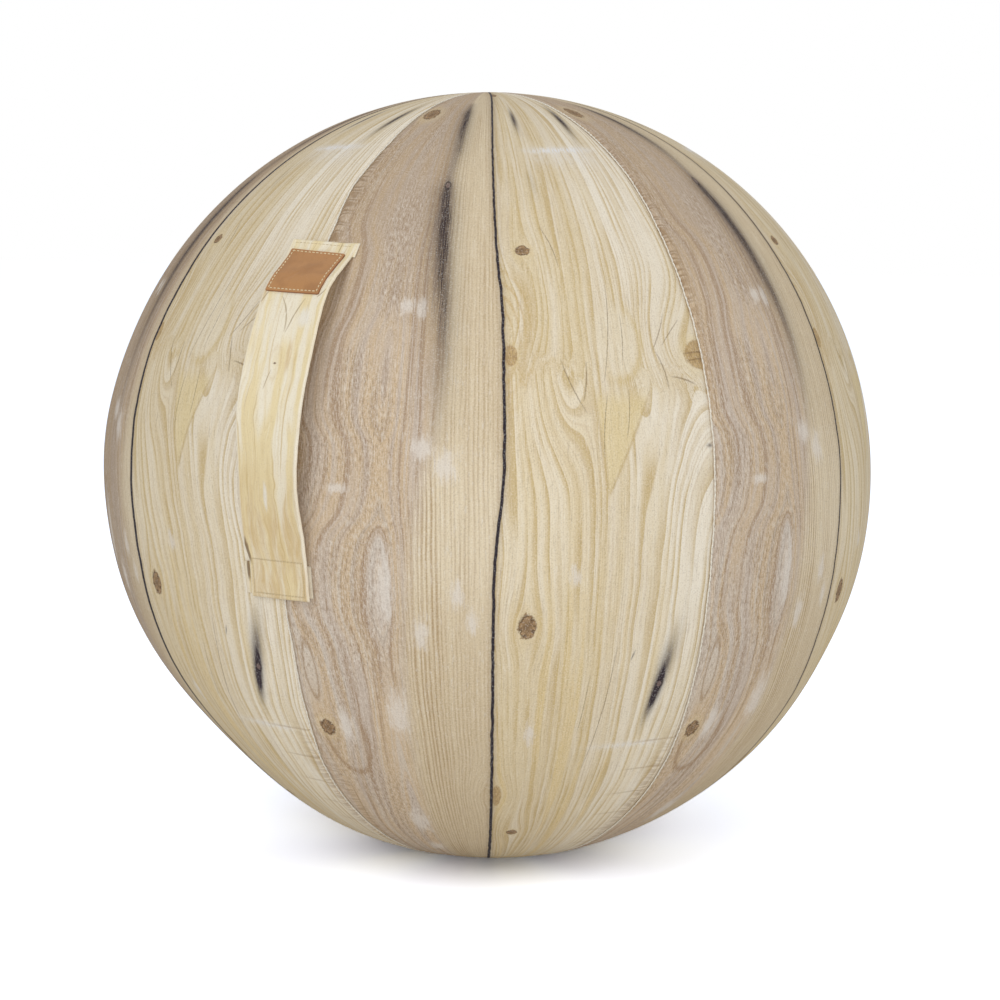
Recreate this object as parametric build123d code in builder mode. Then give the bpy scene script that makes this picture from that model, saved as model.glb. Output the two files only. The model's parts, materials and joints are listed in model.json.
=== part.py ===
from build123d import *

import os
from math import atan, cos, degrees, radians, sin, sqrt

# Driving dimensions, in millimetres and degrees.
# The ball rests on a small flat spot, and the frame's origin is that spot's centre.
# The handle faces -Y, at azimuth 0, and azimuth grows towards +X.
ball_radius = 325.0
flat_spot_radius = 50.0
gore_count = 6
cloth_thickness = 0.8
seam_allowance = 8.0
touch_gap = 0.05
fit_gap = 0.3

bladder_wall = 0.8
valve_latitude = -30.0
valve_boss_radius = 10.0
valve_boss_depth = 6.0
valve_bore_radius = 3.5
plug_head_radius = 6.0
plug_head_thickness = 1.3
plug_stem_length = 8.0
plug_clearance = 0.1
plug_rib_count = 3
plug_rib_height = 0.35
plug_rib_width = 0.8
plug_head_drop = 0.1

handle_top_latitude = 39.6
handle_bottom_latitude = -10.4
handle_width = 55.0
handle_thickness = 1.6
handle_bow = 16.5
handle_blend_radius = 40.0
handle_top_pad = 18.0
handle_bottom_pad = 34.0
handle_fold_round = 1.2

patch_width = 44.0
patch_length = 45.0
patch_thickness = 1.4
patch_inset = 12.0
patch_corner_radius = 3.0

zip_azimuth = 180.0
zip_top_latitude = 9.0
zip_bottom_latitude = -61.0
zip_slot_half_width = 5.5
tape_width = 15.0
tape_thickness = 0.5
tape_overrun = 12.0
tape_bed_margin = 1.5
chain_gap = 1.3
chain_width = 2.45
chain_bead = 0.6
tooth_height = 1.0
tooth_pitch = 2.5
tooth_length = 1.4
stop_length = 4.0
stop_margin = 1.0
stop_height = 1.7

slider_length = 12.0
slider_half_width = 4.4
slider_plate = 1.0
slider_flange = 1.0
slider_foot = 0.6
slider_fin_width = 0.7
slider_fin_length = 3.0
bridge_width = 2.4
bridge_span = 8.0
bridge_thickness = 1.1
bridge_height = 3.2
bridge_root = 0.3
slider_corner_radius = 1.2

pull_length = 30.0
pull_width = 8.5
pull_thickness = 1.2
pull_window_length = 5.4
pull_window_width = 4.2
pull_hole_radius = 2.0

# Places worked out from the dimensions above.
centre_height = sqrt(ball_radius**2 - flat_spot_radius**2)
centre = Vector(0, 0, centre_height)
gore_angle = 360.0 / gore_count
travel_axis = Axis((0, 0, centre_height), (-1, 0, 0))
bladder_floor = 2 * cloth_thickness + fit_gap


def meridian(azimuth):
    """Upright plane through the polar axis: x runs outwards at the azimuth, y runs up."""
    turn = radians(azimuth)
    return Plane(origin=(0, 0, 0), x_dir=(sin(turn), -cos(turn), 0), z_dir=(-cos(turn), -sin(turn), 0))


def zip_section(latitude):
    """Plane across the zip at a latitude: x runs along +X, y runs outwards from the ball's centre."""
    turn = radians(latitude)
    return Plane(origin=(0, 0, centre_height), x_dir=(1, 0, 0), z_dir=(0, -sin(turn), cos(turn)))


def shell_outline(outer_radius, floor, wall):
    """Half section of a closed spherical wall with a flat underside, from its floor to the upper pole."""
    inner_radius = outer_radius - wall
    drop = centre_height - floor
    outer_edge = sqrt(outer_radius**2 - drop**2)
    inner_edge = sqrt(inner_radius**2 - (drop - wall) ** 2)
    outer_top = centre_height + outer_radius
    inner_top = centre_height + inner_radius
    ThreePointArc((outer_edge, floor), (outer_radius, centre_height), (0, outer_top))
    Line((0, outer_top), (0, inner_top))
    ThreePointArc((0, inner_top), (inner_radius, centre_height), (inner_edge, floor + wall))
    Polyline((inner_edge, floor + wall), (0, floor + wall), (0, floor), (outer_edge, floor))


def band(low_radius, high_radius, low_x, high_x):
    """Flat strip of a section across the zip, between two radii about the ball's centre."""
    with Locations(((low_x + high_x) / 2, (low_radius + high_radius) / 2)):
        Rectangle(high_x - low_x, high_radius - low_radius)


def along(length, radius=ball_radius):
    """Angle in degrees that an arc length takes up on a circle about the ball's centre."""
    return degrees(length / radius)


# Radii of the zip's layers, from the cloth inwards and outwards.
tape_outer = ball_radius - cloth_thickness - touch_gap
tape_inner = tape_outer - tape_thickness
foot_outer = tape_inner - fit_gap
foot_inner = foot_outer - slider_foot
bead_inner = tape_outer + touch_gap
bead_outer = bead_inner + chain_bead
tooth_top = bead_outer + tooth_height
plate_inner = tooth_top + fit_gap
plate_outer = plate_inner + slider_plate
flange_end = tape_outer + fit_gap
pivot_radius = plate_outer + fit_gap + pull_thickness / 2
bladder_radius = foot_inner - fit_gap

# Latitudes of the zip's stops, its chain and the slider.
top_stop_latitude = zip_top_latitude - along(stop_margin)
chain_top_latitude = top_stop_latitude - along(stop_length + fit_gap)
bottom_stop_latitude = zip_bottom_latitude + along(stop_margin + stop_length)
chain_bottom_latitude = bottom_stop_latitude + along(fit_gap)
slider_latitude = chain_top_latitude - along(slider_length / 2)
slider_low_latitude = chain_bottom_latitude + along(slider_length / 2)
slider_travel = slider_latitude - slider_low_latitude


def zip_band(sections, high_latitude, low_latitude):
    """Revolves section strips down along the zip, from one latitude to a lower one."""
    with BuildSketch(zip_section(high_latitude)) as profile:
        for strip in sections:
            band(*strip)
    revolve(profile.sketch, axis=travel_axis, revolution_arc=high_latitude - low_latitude)


def make_zip_clearance():
    """Space that the zip takes out of the cover: the open slot, and the bed of the tapes under its edges."""
    bed_half = tape_width + tape_bed_margin
    with BuildPart() as clearance:
        slot = (foot_inner, ball_radius + cloth_thickness, -zip_slot_half_width, zip_slot_half_width)
        zip_band([slot], zip_top_latitude, zip_bottom_latitude)
        bed = (foot_inner, ball_radius - cloth_thickness, -bed_half, bed_half)
        reach = along(tape_overrun + tape_bed_margin)
        zip_band([bed], zip_top_latitude + reach, zip_bottom_latitude - reach)
    return clearance.part


def make_allowance_window(azimuth):
    """Middle of a gore's inner layer, which is left bare between the two sewn allowances."""
    apex_distance = seam_allowance / sin(radians(gore_angle / 2))
    beyond_ball = 3 * ball_radius
    middle = azimuth + gore_angle / 2
    side_turns = (-gore_angle / 2, gore_angle / 2)
    with BuildPart() as window:
        with BuildSketch(meridian(azimuth)):
            with BuildLine():
                shell_outline(ball_radius - cloth_thickness, cloth_thickness, 2 * cloth_thickness)
            make_face()
        revolve(axis=Axis.Z, revolution_arc=gore_angle)
        with BuildSketch(Plane.XY):
            apex = Vector(0, -apex_distance).rotate(Axis.Z, middle)
            corners = [apex + Vector(0, -beyond_ball).rotate(Axis.Z, middle + turn) for turn in side_turns]
            with BuildLine():
                Polyline(apex, *corners, close=True)
            make_face()
        extrude(amount=beyond_ball, mode=Mode.INTERSECT)
    return window.part


def make_gore(azimuth, zip_clearance):
    """One printed cover panel, from pole to floor, with its seam allowances folded to the inside."""
    window = make_allowance_window(azimuth)
    with BuildPart() as gore:
        with BuildSketch(meridian(azimuth)):
            with BuildLine():
                shell_outline(ball_radius, 0, 2 * cloth_thickness)
            make_face()
        revolve(axis=Axis.Z, revolution_arc=gore_angle)
        add(window, mode=Mode.SUBTRACT)
        beside_zip = zip_azimuth in (azimuth, azimuth + gore_angle)
        if beside_zip:
            add(zip_clearance, mode=Mode.SUBTRACT)
    return gore


# Cover panels. Gore 1 starts at the handle's seam and they go round towards +X.
os.makedirs("parts", exist_ok=True)
zip_clearance = make_zip_clearance()
for index in range(gore_count):
    gore = make_gore(index * gore_angle, zip_clearance)
    gore.part.label = f"gore_{index + 1}"
    export_step(gore.part, f"parts/gore_{index + 1}.step")

# Handle: one double cloth strap that leaves the ball in a low bow. Its line runs in the plane of the seam, as
# tangent arcs: the sewn pad, a lift off the ball, the crown, a landing, and the lower pad.
strap_radius = ball_radius + touch_gap + 1.5 * handle_thickness
handle_plane = Plane(origin=(0, 0, centre_height), x_dir=(0, -1, 0), z_dir=(-1, 0, 0))
top_pad_turn = along(handle_top_pad, strap_radius)
bottom_pad_turn = along(handle_bottom_pad, strap_radius)
free_turn = handle_top_latitude - handle_bottom_latitude - top_pad_turn - bottom_pad_turn
half_free = radians(free_turn / 2)
blend_reach = strap_radius + handle_blend_radius
crown_rise = handle_bow + blend_reach * (1 - cos(half_free))
half_crown_turn = 2 * degrees(atan(crown_rise / (blend_reach * sin(half_free))))
crown_radius = blend_reach * sin(half_free) / sin(radians(half_crown_turn)) - handle_blend_radius
lift_turn = half_crown_turn - free_turn / 2


def strap_frame(latitude):
    """Start of the strap's line on the ball at a latitude: the point and the way down, in the handle's plane."""
    turn = radians(latitude)
    start = (strap_radius * cos(turn), strap_radius * sin(turn))
    down = (sin(turn), -cos(turn))
    return start, down


def strap_section(latitude):
    """Plane across the strap at a latitude: x runs along +X, y runs outwards, with its origin on the line."""
    start, down = strap_frame(latitude)
    origin = handle_plane.from_local_coords(start)
    tangent = handle_plane.from_local_coords(down) - handle_plane.origin
    return Plane(origin=origin, x_dir=(1, 0, 0), z_dir=tangent)


def curved_strip(width, low, high):
    """Cross-section that follows the ball's curve, between two heights from the strap's line."""
    half = width / 2
    low_radius = strap_radius + low
    high_radius = strap_radius + high
    low_side = sqrt(low_radius**2 - half**2) - strap_radius
    high_side = sqrt(high_radius**2 - half**2) - strap_radius
    ThreePointArc((-half, low_side), (0, low), (half, low_side))
    Line((half, low_side), (half, high_side))
    ThreePointArc((half, high_side), (0, high), (-half, high_side))
    Line((-half, high_side), (-half, low_side))


with BuildPart() as handle:
    half_layer = handle_thickness / 2
    with BuildLine(handle_plane) as strap_line:
        start, down = strap_frame(handle_top_latitude)
        top_pad = JernArc(start, down, strap_radius, -top_pad_turn)
        lift = JernArc(top_pad @ 1, top_pad % 1, handle_blend_radius, lift_turn)
        crown = JernArc(lift @ 1, lift % 1, crown_radius, -2 * half_crown_turn)
        landing = JernArc(crown @ 1, crown % 1, handle_blend_radius, lift_turn)
        JernArc(landing @ 1, landing % 1, strap_radius, -bottom_pad_turn)
    with BuildSketch(strap_section(handle_top_latitude)) as layer:
        with BuildLine():
            curved_strip(handle_width, -half_layer, half_layer)
        make_face()
    sweep(layer.sketch, path=strap_line.wires()[0])
    pads = (
        (handle_top_latitude, top_pad_turn),
        (handle_bottom_latitude + bottom_pad_turn, bottom_pad_turn),
    )
    for pad_latitude, pad_turn in pads:
        with BuildLine(handle_plane) as pad_line:
            start, down = strap_frame(pad_latitude)
            JernArc(start, down, strap_radius, -pad_turn)
        with BuildSketch(strap_section(pad_latitude)) as folded_layer:
            with BuildLine():
                curved_strip(handle_width, -half_layer - handle_thickness, -half_layer)
            make_face()
        sweep(folded_layer.sketch, path=pad_line.wires()[0])
    for end_face in (handle.faces().sort_by(Axis.Z)[-1], handle.faces().sort_by(Axis.Z)[0]):
        folds = end_face.edges().filter_by(lambda edge: edge.length > handle_width / 2)
        fillet(folds, radius=handle_fold_round)
handle.part.label = "handle_strap"
export_step(handle.part, "parts/handle_strap.step")

# Leather patch, bent along the handle's line from the upper pad over the lift and on to the crown.
with BuildPart() as patch:
    inset_turn = along(patch_inset, strap_radius)
    pad_share = top_pad_turn - inset_turn
    lift_length = radians(lift_turn) * handle_blend_radius
    crown_length = patch_length - radians(pad_share) * strap_radius - lift_length
    with BuildLine(handle_plane) as patch_line:
        start, down = strap_frame(handle_top_latitude - inset_turn)
        seat = JernArc(start, down, strap_radius, -pad_share)
        bend = JernArc(seat @ 1, seat % 1, handle_blend_radius, lift_turn)
        JernArc(bend @ 1, bend % 1, crown_radius, -along(crown_length, crown_radius))
    with BuildSketch(strap_section(handle_top_latitude - inset_turn)) as leather:
        underside = handle_thickness / 2 + touch_gap
        with BuildLine():
            curved_strip(patch_width, underside, underside + patch_thickness)
        make_face()
    sweep(leather.sketch, path=patch_line.wires()[0])
    corners = patch.edges().sort_by(SortBy.LENGTH)[:4]
    fillet(corners, radius=patch_corner_radius)
patch.part.label = "leather_patch"
export_step(patch.part, "parts/leather_patch.step")

# Inner ball: a hollow air-tight ball on the cover's floor, with a valve seat that faces the zip.
valve_turn = radians(valve_latitude)
valve_direction = Vector(0, cos(valve_turn), sin(valve_turn))
valve_mouth = Plane(
    origin=centre + valve_direction * bladder_radius,
    x_dir=(1, 0, 0),
    z_dir=valve_direction,
)
with BuildPart() as bladder:
    with BuildSketch(meridian(0)):
        with BuildLine():
            shell_outline(bladder_radius, bladder_floor, bladder_wall)
        make_face()
    revolve(axis=Axis.Z)
    with BuildSketch(valve_mouth.offset(-bladder_wall / 2)):
        Circle(valve_boss_radius)
    extrude(amount=-valve_boss_depth)
    with BuildSketch(valve_mouth.offset(-plug_head_thickness - plug_clearance)):
        Circle(plug_head_radius + plug_clearance)
    extrude(amount=2 * plug_head_thickness, mode=Mode.SUBTRACT)
    with BuildSketch(valve_mouth):
        Circle(valve_bore_radius)
    extrude(amount=-2 * valve_boss_depth, mode=Mode.SUBTRACT)
bladder.part.label = "inner_ball"
export_step(bladder.part, "parts/inner_ball.step")

# Valve plug: a flat head that seats flush and a ribbed stem in the bore.
with BuildPart() as plug:
    head_base = valve_mouth.offset(-plug_head_thickness)
    with BuildSketch(head_base):
        Circle(plug_head_radius)
    extrude(amount=plug_head_thickness - plug_head_drop)
    with BuildSketch(head_base):
        Circle(valve_bore_radius - plug_clearance - plug_rib_height)
    extrude(amount=-plug_stem_length)
    rib_step = plug_stem_length / (plug_rib_count + 1)
    for rib in range(1, plug_rib_count + 1):
        with BuildSketch(head_base.offset(-rib * rib_step)):
            Circle(valve_bore_radius - plug_clearance)
        extrude(amount=-plug_rib_width)
plug.part.label = "valve_plug"
export_step(plug.part, "parts/valve_plug.step")

# Zip tapes, sewn under the slot's two edges.
chain_inner_x = chain_gap / 2
chain_outer_x = chain_inner_x + chain_width
tape_top_latitude = zip_top_latitude + along(tape_overrun)
tape_bottom_latitude = zip_bottom_latitude - along(tape_overrun)
for side, sign in (("left", 1), ("right", -1)):
    near, far = sorted((sign * chain_inner_x, sign * tape_width))
    with BuildPart() as tape:
        zip_band([(tape_inner, tape_outer, near, far)], tape_top_latitude, tape_bottom_latitude)
    tape.part.label = f"zip_tape_{side}"
    export_step(tape.part, f"parts/zip_tape_{side}.step")

# Rows of zip teeth: a moulded bead on each tape, with a tooth at every pitch. The side view is one sketch in
# the zip's plane, and the two rows are offset by half a pitch, as they mesh.
tooth_turn = along(tooth_pitch)
tooth_count = int((chain_top_latitude - chain_bottom_latitude) / tooth_turn)
tooth_root = chain_bead / 2
tooth_middle = bead_outer + (tooth_height - tooth_root) / 2
zip_plane = Plane(origin=(0, 0, centre_height), x_dir=(0, 1, 0), z_dir=(1, 0, 0))
for side, sign in (("left", 1), ("right", -1)):
    near, far = sorted((sign * chain_inner_x, sign * chain_outer_x))
    first_tooth = chain_bottom_latitude + tooth_turn * (0.5 + 0.25 * sign)
    with BuildPart() as chain:
        with BuildSketch(zip_plane.offset(near)):
            with PolarLocations(tooth_middle, tooth_count, first_tooth, tooth_turn * tooth_count):
                Rectangle(tooth_height + tooth_root, tooth_length)
        extrude(amount=far - near)
        bead = (bead_inner, bead_outer, near, far)
        with BuildSketch(zip_section(chain_top_latitude)) as bead_profile:
            band(*bead)
        revolve(
            bead_profile.sketch,
            axis=travel_axis,
            revolution_arc=chain_top_latitude - chain_bottom_latitude,
        )
    chain.part.label = f"zip_chain_{side}"
    export_step(chain.part, f"parts/zip_chain_{side}.step")

# Stops at the two ends of the chain, clipped over both tapes.
stops = (
    ("zip_top_stop", top_stop_latitude),
    ("zip_bottom_stop", bottom_stop_latitude),
)
for name, high_latitude in stops:
    with BuildPart() as stop:
        clip = (bead_inner, bead_inner + stop_height, -chain_outer_x, chain_outer_x)
        zip_band([clip], high_latitude, high_latitude - along(stop_length))
    stop.part.label = name
    export_step(stop.part, f"parts/{name}.step")

# Slider: a flanged plate over the teeth and a foot under the tapes, joined by a thin fin between the rows, and
# a bridge for the pull. All of it is round about the travel axis, so it keeps its clearance as it moves.
slider_turn = along(slider_length)
slider_high_latitude = slider_latitude + slider_turn / 2
slider_direction = Vector(0, cos(radians(slider_latitude)), sin(radians(slider_latitude)))
slider_side = Plane(
    origin=centre + slider_direction * plate_outer,
    x_dir=(0, -sin(radians(slider_latitude)), cos(radians(slider_latitude))),
    z_dir=(-1, 0, 0),
)
with BuildPart() as slider:
    flange_inner_x = slider_half_width - slider_flange
    plate = (plate_inner, plate_outer, -slider_half_width, slider_half_width)
    left_flange = (flange_end, plate_outer, flange_inner_x, slider_half_width)
    right_flange = (flange_end, plate_outer, -slider_half_width, -flange_inner_x)
    foot = (foot_inner, foot_outer, -flange_inner_x, flange_inner_x)
    zip_band([plate, left_flange, right_flange, foot], slider_high_latitude, slider_high_latitude - slider_turn)
    fin = (foot_inner, plate_outer, -slider_fin_width / 2, slider_fin_width / 2)
    zip_band([fin], slider_high_latitude, slider_high_latitude - along(slider_fin_length))
    corners = slider.edges().filter_by(lambda edge: edge.length < 1.1 * (plate_outer - flange_end))
    fillet(
        [edge for edge in corners if abs(edge.center().X) > slider_half_width - slider_flange / 10],
        radius=slider_corner_radius,
    )
    with BuildSketch(slider_side) as arch:
        with Locations((0, (bridge_height - bridge_root) / 2)):
            Rectangle(bridge_span, bridge_height + bridge_root)
        fillet(arch.vertices().group_by(Axis.Y)[-1], radius=bridge_thickness)
        with Locations((0, (bridge_height - bridge_thickness - bridge_root) / 2)):
            Rectangle(
                bridge_span - 2 * bridge_thickness,
                bridge_height - bridge_thickness + bridge_root,
                mode=Mode.SUBTRACT,
            )
    extrude(amount=bridge_width / 2, both=True)
slider.part.label = "zip_slider"
export_step(slider.part, "parts/zip_slider.step")

# Pull tab: a round bar under the bridge, a window that clears the bridge, and a rounded grip.
pull_face = Plane(
    origin=centre + slider_direction * pivot_radius,
    x_dir=(1, 0, 0),
    z_dir=slider_direction,
)
with BuildPart() as pull:
    with BuildSketch(pull_face) as outline:
        grip_radius = pull_width / 2
        with Locations((0, pull_length / 2 - grip_radius / 2)):
            Rectangle(pull_width, pull_length - grip_radius)
        with Locations((0, pull_length - grip_radius)):
            Circle(grip_radius)
            Circle(pull_hole_radius, mode=Mode.SUBTRACT)
        with Locations((0, pull_window_length / 2)):
            Rectangle(pull_window_width, pull_window_length, mode=Mode.SUBTRACT)
    extrude(amount=pull_thickness / 2, both=True)
    with BuildSketch(Plane.YZ.offset(-pull_width / 2)) as bar:
        with Locations((pull_face.origin.Y, pull_face.origin.Z)):
            Circle(pull_thickness / 2)
    extrude(amount=pull_width)
pull.part.label = "zip_pull"
export_step(pull.part, "parts/zip_pull.step")

print("ball centre height", round(centre_height, 3))
print("slider latitude", round(slider_latitude, 3), "travel", round(slider_travel, 3))
print("pull pivot", [round(value, 3) for value in pull_face.origin])
print("crown radius", round(crown_radius, 2), "lift turn", round(lift_turn, 2))
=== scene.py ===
import functools
import json
import math

import bpy
import numpy as np
from bpy.props import FloatProperty, FloatVectorProperty, IntProperty, PointerProperty
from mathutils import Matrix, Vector


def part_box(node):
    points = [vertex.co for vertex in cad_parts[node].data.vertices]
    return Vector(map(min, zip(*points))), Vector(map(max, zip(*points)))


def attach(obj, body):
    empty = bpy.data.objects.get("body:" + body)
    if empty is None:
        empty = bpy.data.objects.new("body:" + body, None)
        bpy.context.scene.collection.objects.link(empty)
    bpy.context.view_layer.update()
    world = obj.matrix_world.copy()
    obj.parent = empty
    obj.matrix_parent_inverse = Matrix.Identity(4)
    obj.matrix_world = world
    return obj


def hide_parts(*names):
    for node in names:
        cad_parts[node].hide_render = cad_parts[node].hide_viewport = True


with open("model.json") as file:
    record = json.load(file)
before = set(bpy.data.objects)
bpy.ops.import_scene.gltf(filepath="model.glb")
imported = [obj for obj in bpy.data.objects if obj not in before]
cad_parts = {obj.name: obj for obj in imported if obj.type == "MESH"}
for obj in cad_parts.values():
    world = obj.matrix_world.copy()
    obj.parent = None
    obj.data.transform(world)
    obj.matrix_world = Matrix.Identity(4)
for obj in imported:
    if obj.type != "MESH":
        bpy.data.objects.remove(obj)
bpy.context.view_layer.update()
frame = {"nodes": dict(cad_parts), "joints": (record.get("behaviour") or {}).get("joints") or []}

bl_info = {
    "name": "Sitting Ball",
    "version": (1, 0, 0),
    "blender": (4, 5, 0),
    "location": "View3D > Sidebar > Sitting Ball",
    "description": "Sewn cover with a wood print, its carrying handle, zip and inner ball",
    "category": "Add Mesh",
}

# Places on the ball are (azimuth, latitude) in degrees. The handle is at azimuth 0, which faces -Y, and
# azimuth grows towards +X. Places on a panel are (across, up): across is the azimuth from the panel's
# middle line, and up is the latitude.
MM = 0.001
PANEL_COUNT = 6
PANEL_TURN = 360 / PANEL_COUNT
CENTRE_HEIGHT = frame["joints"][0]["pos_m"][2]
BALL_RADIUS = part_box("gore_1")[1].z - CENTRE_HEIGHT
ZIP_AZIMUTH = 180.0
ZIP_LATITUDES = (-61.0, 9.0)
# The panels end just short of the poles, and the seam threads end further out.
POLE_LATITUDE = 89.6
THREAD_LATITUDES = (-80.0, 87.0)

# Soft dents and swells of the cover: azimuth, latitude, height in millimetres and reach in degrees.
DENTS = (
    (319.0, -42.0, -10.5, 19.0),
    (307.0, 7.0, 2.4, 11.0),
    (110.0, 35.0, 1.6, 32.0),
    (60.0, -66.0, 1.6, 12.0),
    (104.0, -26.0, -1.6, 9.0),
)


def srgb(red, green, blue):
    """Linear colour of a screen colour given as three numbers up to 255."""
    shares = [value / 255 for value in (red, green, blue)]
    return tuple(s / 12.92 if s <= 0.04045 else ((s + 0.055) / 1.055) ** 2.4 for s in shares)


def to_radians(*degrees):
    return [np.radians(np.asarray(value, float)) for value in degrees]


def direction(azimuth, latitude):
    """Unit vectors from the ball's centre, for arrays of degrees."""
    turn, rise = to_radians(azimuth, latitude)
    return np.stack([np.cos(rise) * np.sin(turn), -np.cos(rise) * np.cos(turn), np.sin(rise) + 0 * turn], -1)


def bell(value, reach):
    """1 where a value is 0, falling away smoothly on both sides within its reach."""
    return np.exp(-((value / reach) ** 2))


def rounded_edge(from_edge, radius):
    """Share of its full height that a round edge has at a distance in from it."""
    return np.sqrt(1 - np.clip(1 - from_edge / radius, 0, 1) ** 2)


def dent_height(azimuth, latitude):
    """How far the cover stands out from a true ball, in metres, away from its seams."""
    outward = direction(azimuth, latitude)
    height = np.zeros(outward.shape[:-1])
    for dent_azimuth, dent_latitude, amount, reach in DENTS:
        nearness = outward @ direction(dent_azimuth, dent_latitude)
        angle = np.degrees(np.arccos(np.clip(nearness, -1, 1)))
        height += amount * MM * bell(angle, reach)
    return height


# How far the seam lines sway from straight meridians, by seam azimuth: (latitude, degrees).
SEAM_SWAY = {
    0: (
        (-60, -1.6), (-45, -1.7), (-38, -1.35), (-30, -0.3), (-18, 0.5), (-5, 0.3), (15, 0.0), (42, -0.1),
        (49, -0.8), (60, 0.6), (75, 0.5),
    ),
    60: (
        (-60, 1.4), (-44, 1.2), (-36, 0.9), (-24, 0.0), (-12, -0.5), (-4, -0.55), (8, 0.0), (24, 0.4),
        (40, 0.45), (52, 0.9), (70, 0.4),
    ),
    120: ((-60, 0.4), (-20, -0.3), (20, 0.4), (60, -0.2)),
    240: ((-60, -0.3), (-20, 0.4), (20, -0.3), (60, 0.3)),
    300: ((-60, 0.5), (-20, -0.4), (20, 0.3), (60, -0.3)),
}
# How far the print lies beside its usual place, by the panel's index from 0: (latitude, degrees).
PRINT_SHIFT = {
    1: (
        (-60, 1.0), (-30, 0.9), (-20, -1.3), (-9, -2.4), (1, -3.35), (11, -3.8), (21, -3.5), (32, -2.4),
        (45, -0.4), (55, 1.2), (75, 2.0),
    ),
    2: ((-60, 1.5), (0, -1.0), (60, 2.0)),
    3: ((-60, -1.0), (0, 1.5), (60, -0.5)),
    4: ((-60, 2.0), (0, 0.5), (60, -1.5)),
    5: (
        (-60, -1.6), (-27, -1.1), (-19, -0.15), (-9, 0.4), (-3, -0.2), (2, -1.6), (11, -3.8), (22, -4.75),
        (32, -3.8), (46, -2.9), (75, -2.0),
    ),
}
# How far the print lies above its usual place, by the panel's index from 0: (latitude, degrees).
PRINT_RISE = {
    1: ((-60, -1.8), (-30, -1.4), (-12, -0.5), (30, 0.9), (60, 0.9)),
    2: ((-60, 2.0), (60, 1.0)),
    3: ((-60, -1.0), (60, -2.0)),
    4: ((-60, 0.5), (60, 2.0)),
    5: ((-60, 1.4), (-22, 1.5), (-12, 1.9), (37, 1.5), (70, 0.9)),
}


def seam_azimuth(seam, latitude):
    """Azimuth of a seam at each latitude, in degrees."""
    azimuth = seam * PANEL_TURN
    sway = SEAM_SWAY.get(int(round(azimuth)) % 360)
    if sway is None:
        return azimuth + 0 * latitude
    return azimuth + np.interp(latitude, *zip(*sway))


def settle(points):
    """Flattens the underside onto the floor with a soft edge."""
    soft = 0.0006
    points = points.copy()
    points[..., 2] = 0.5 * (points[..., 2] + np.sqrt(points[..., 2] ** 2 + soft**2))
    return points


def on_ball(azimuth, latitude, height):
    """Points at a height over the cover, in metres."""
    outward = direction(azimuth, latitude)
    radius = BALL_RADIUS + dent_height(azimuth, latitude) + height
    points = outward * np.asarray(radius)[..., None]
    points[..., 2] += CENTRE_HEIGHT
    return settle(points)


def add_object(name, data):
    """Object for a mesh, a lamp or a camera, in the collection of the scene."""
    added = bpy.data.objects.new(name, data)
    bpy.context.scene.collection.objects.link(added)
    return added


def new_mesh(name, points, faces, smooth=True):
    """Mesh object from points and faces."""
    mesh = bpy.data.meshes.new(name)
    mesh.from_pydata([tuple(p) for p in np.asarray(points, float).reshape(-1, 3)], [], faces)
    mesh.validate()
    if smooth:
        mesh.shade_smooth()
    return add_object(name, mesh)


def give_vectors(piece, name, values):
    """Stores a vector on each point of a piece, for its material to read."""
    attribute = piece.data.attributes.new(name, "FLOAT_VECTOR", "POINT")
    attribute.data.foreach_set("vector", np.asarray(values, np.float32).ravel())


def grid_faces(rows, columns, start=0, flip=False):
    """Quads of a grid of points that is stored row by row."""
    faces = []
    for row in range(rows - 1):
        for column in range(columns - 1):
            corner = start + row * columns + column
            quad = (corner, corner + columns, corner + columns + 1, corner + 1)
            faces.append(quad[::-1] if flip else quad)
    return faces


def rim_faces(rows, columns, inner_start):
    """Quads that close the edge between an outer grid and an inner grid of the same size."""
    top = list(range(columns))
    right = [row * columns + columns - 1 for row in range(rows)]
    bottom = [(rows - 1) * columns + column for column in range(columns)][::-1]
    left = [row * columns for row in range(rows)][::-1]
    ring = top[:-1] + right[:-1] + bottom[:-1] + left[:-1]
    faces = []
    for here, after in zip(ring, ring[1:] + ring[:1]):
        faces.append((here, here + inner_start, after + inner_start, after))
    return faces


def closed_sheet(name, outer, inner, turned=False):
    """Thin closed sheet between an outer and an inner grid of points. Turned is for grids whose rows run
    down the ball."""
    rows, columns = outer.shape[:2]
    count = rows * columns
    faces = grid_faces(rows, columns, flip=True) + grid_faces(rows, columns, start=count)
    faces += rim_faces(rows, columns, count)
    if turned:
        faces = [face[::-1] for face in faces]
    return new_mesh(name, np.concatenate([outer.reshape(-1, 3), inner.reshape(-1, 3)]), faces)


def smooth_line(places, values, at):
    """Natural cubic line through (place, value) points, read at an array of places."""
    order = np.argsort(places)
    x, y = np.asarray(places, float)[order], np.asarray(values, float)[order]
    step, slope = np.diff(x), np.diff(y) / np.diff(x)
    count = len(x)
    system, right = np.eye(count), np.zeros(count)
    for k in range(1, count - 1):
        system[k, k - 1 : k + 2] = step[k - 1], 2 * (step[k - 1] + step[k]), step[k]
        right[k] = 6 * (slope[k] - slope[k - 1])
    bend = np.linalg.solve(system, right)
    k = np.clip(np.searchsorted(x, at) - 1, 0, count - 2)
    ahead, behind = x[k + 1] - at, at - x[k]
    cubic = (bend[k] * ahead**3 + bend[k + 1] * behind**3) / (6 * step[k])
    linear = (y[k] / step[k] - bend[k] * step[k] / 6) * ahead
    return cubic + linear + (y[k + 1] / step[k] - bend[k + 1] * step[k] / 6) * behind


def unit(vectors):
    return vectors / np.linalg.norm(vectors, axis=-1, keepdims=True)


def run_lengths(path):
    """Length from the start of a path to each of its points."""
    return np.concatenate([[0], np.cumsum(np.linalg.norm(np.diff(path, axis=0), axis=1))])


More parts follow.
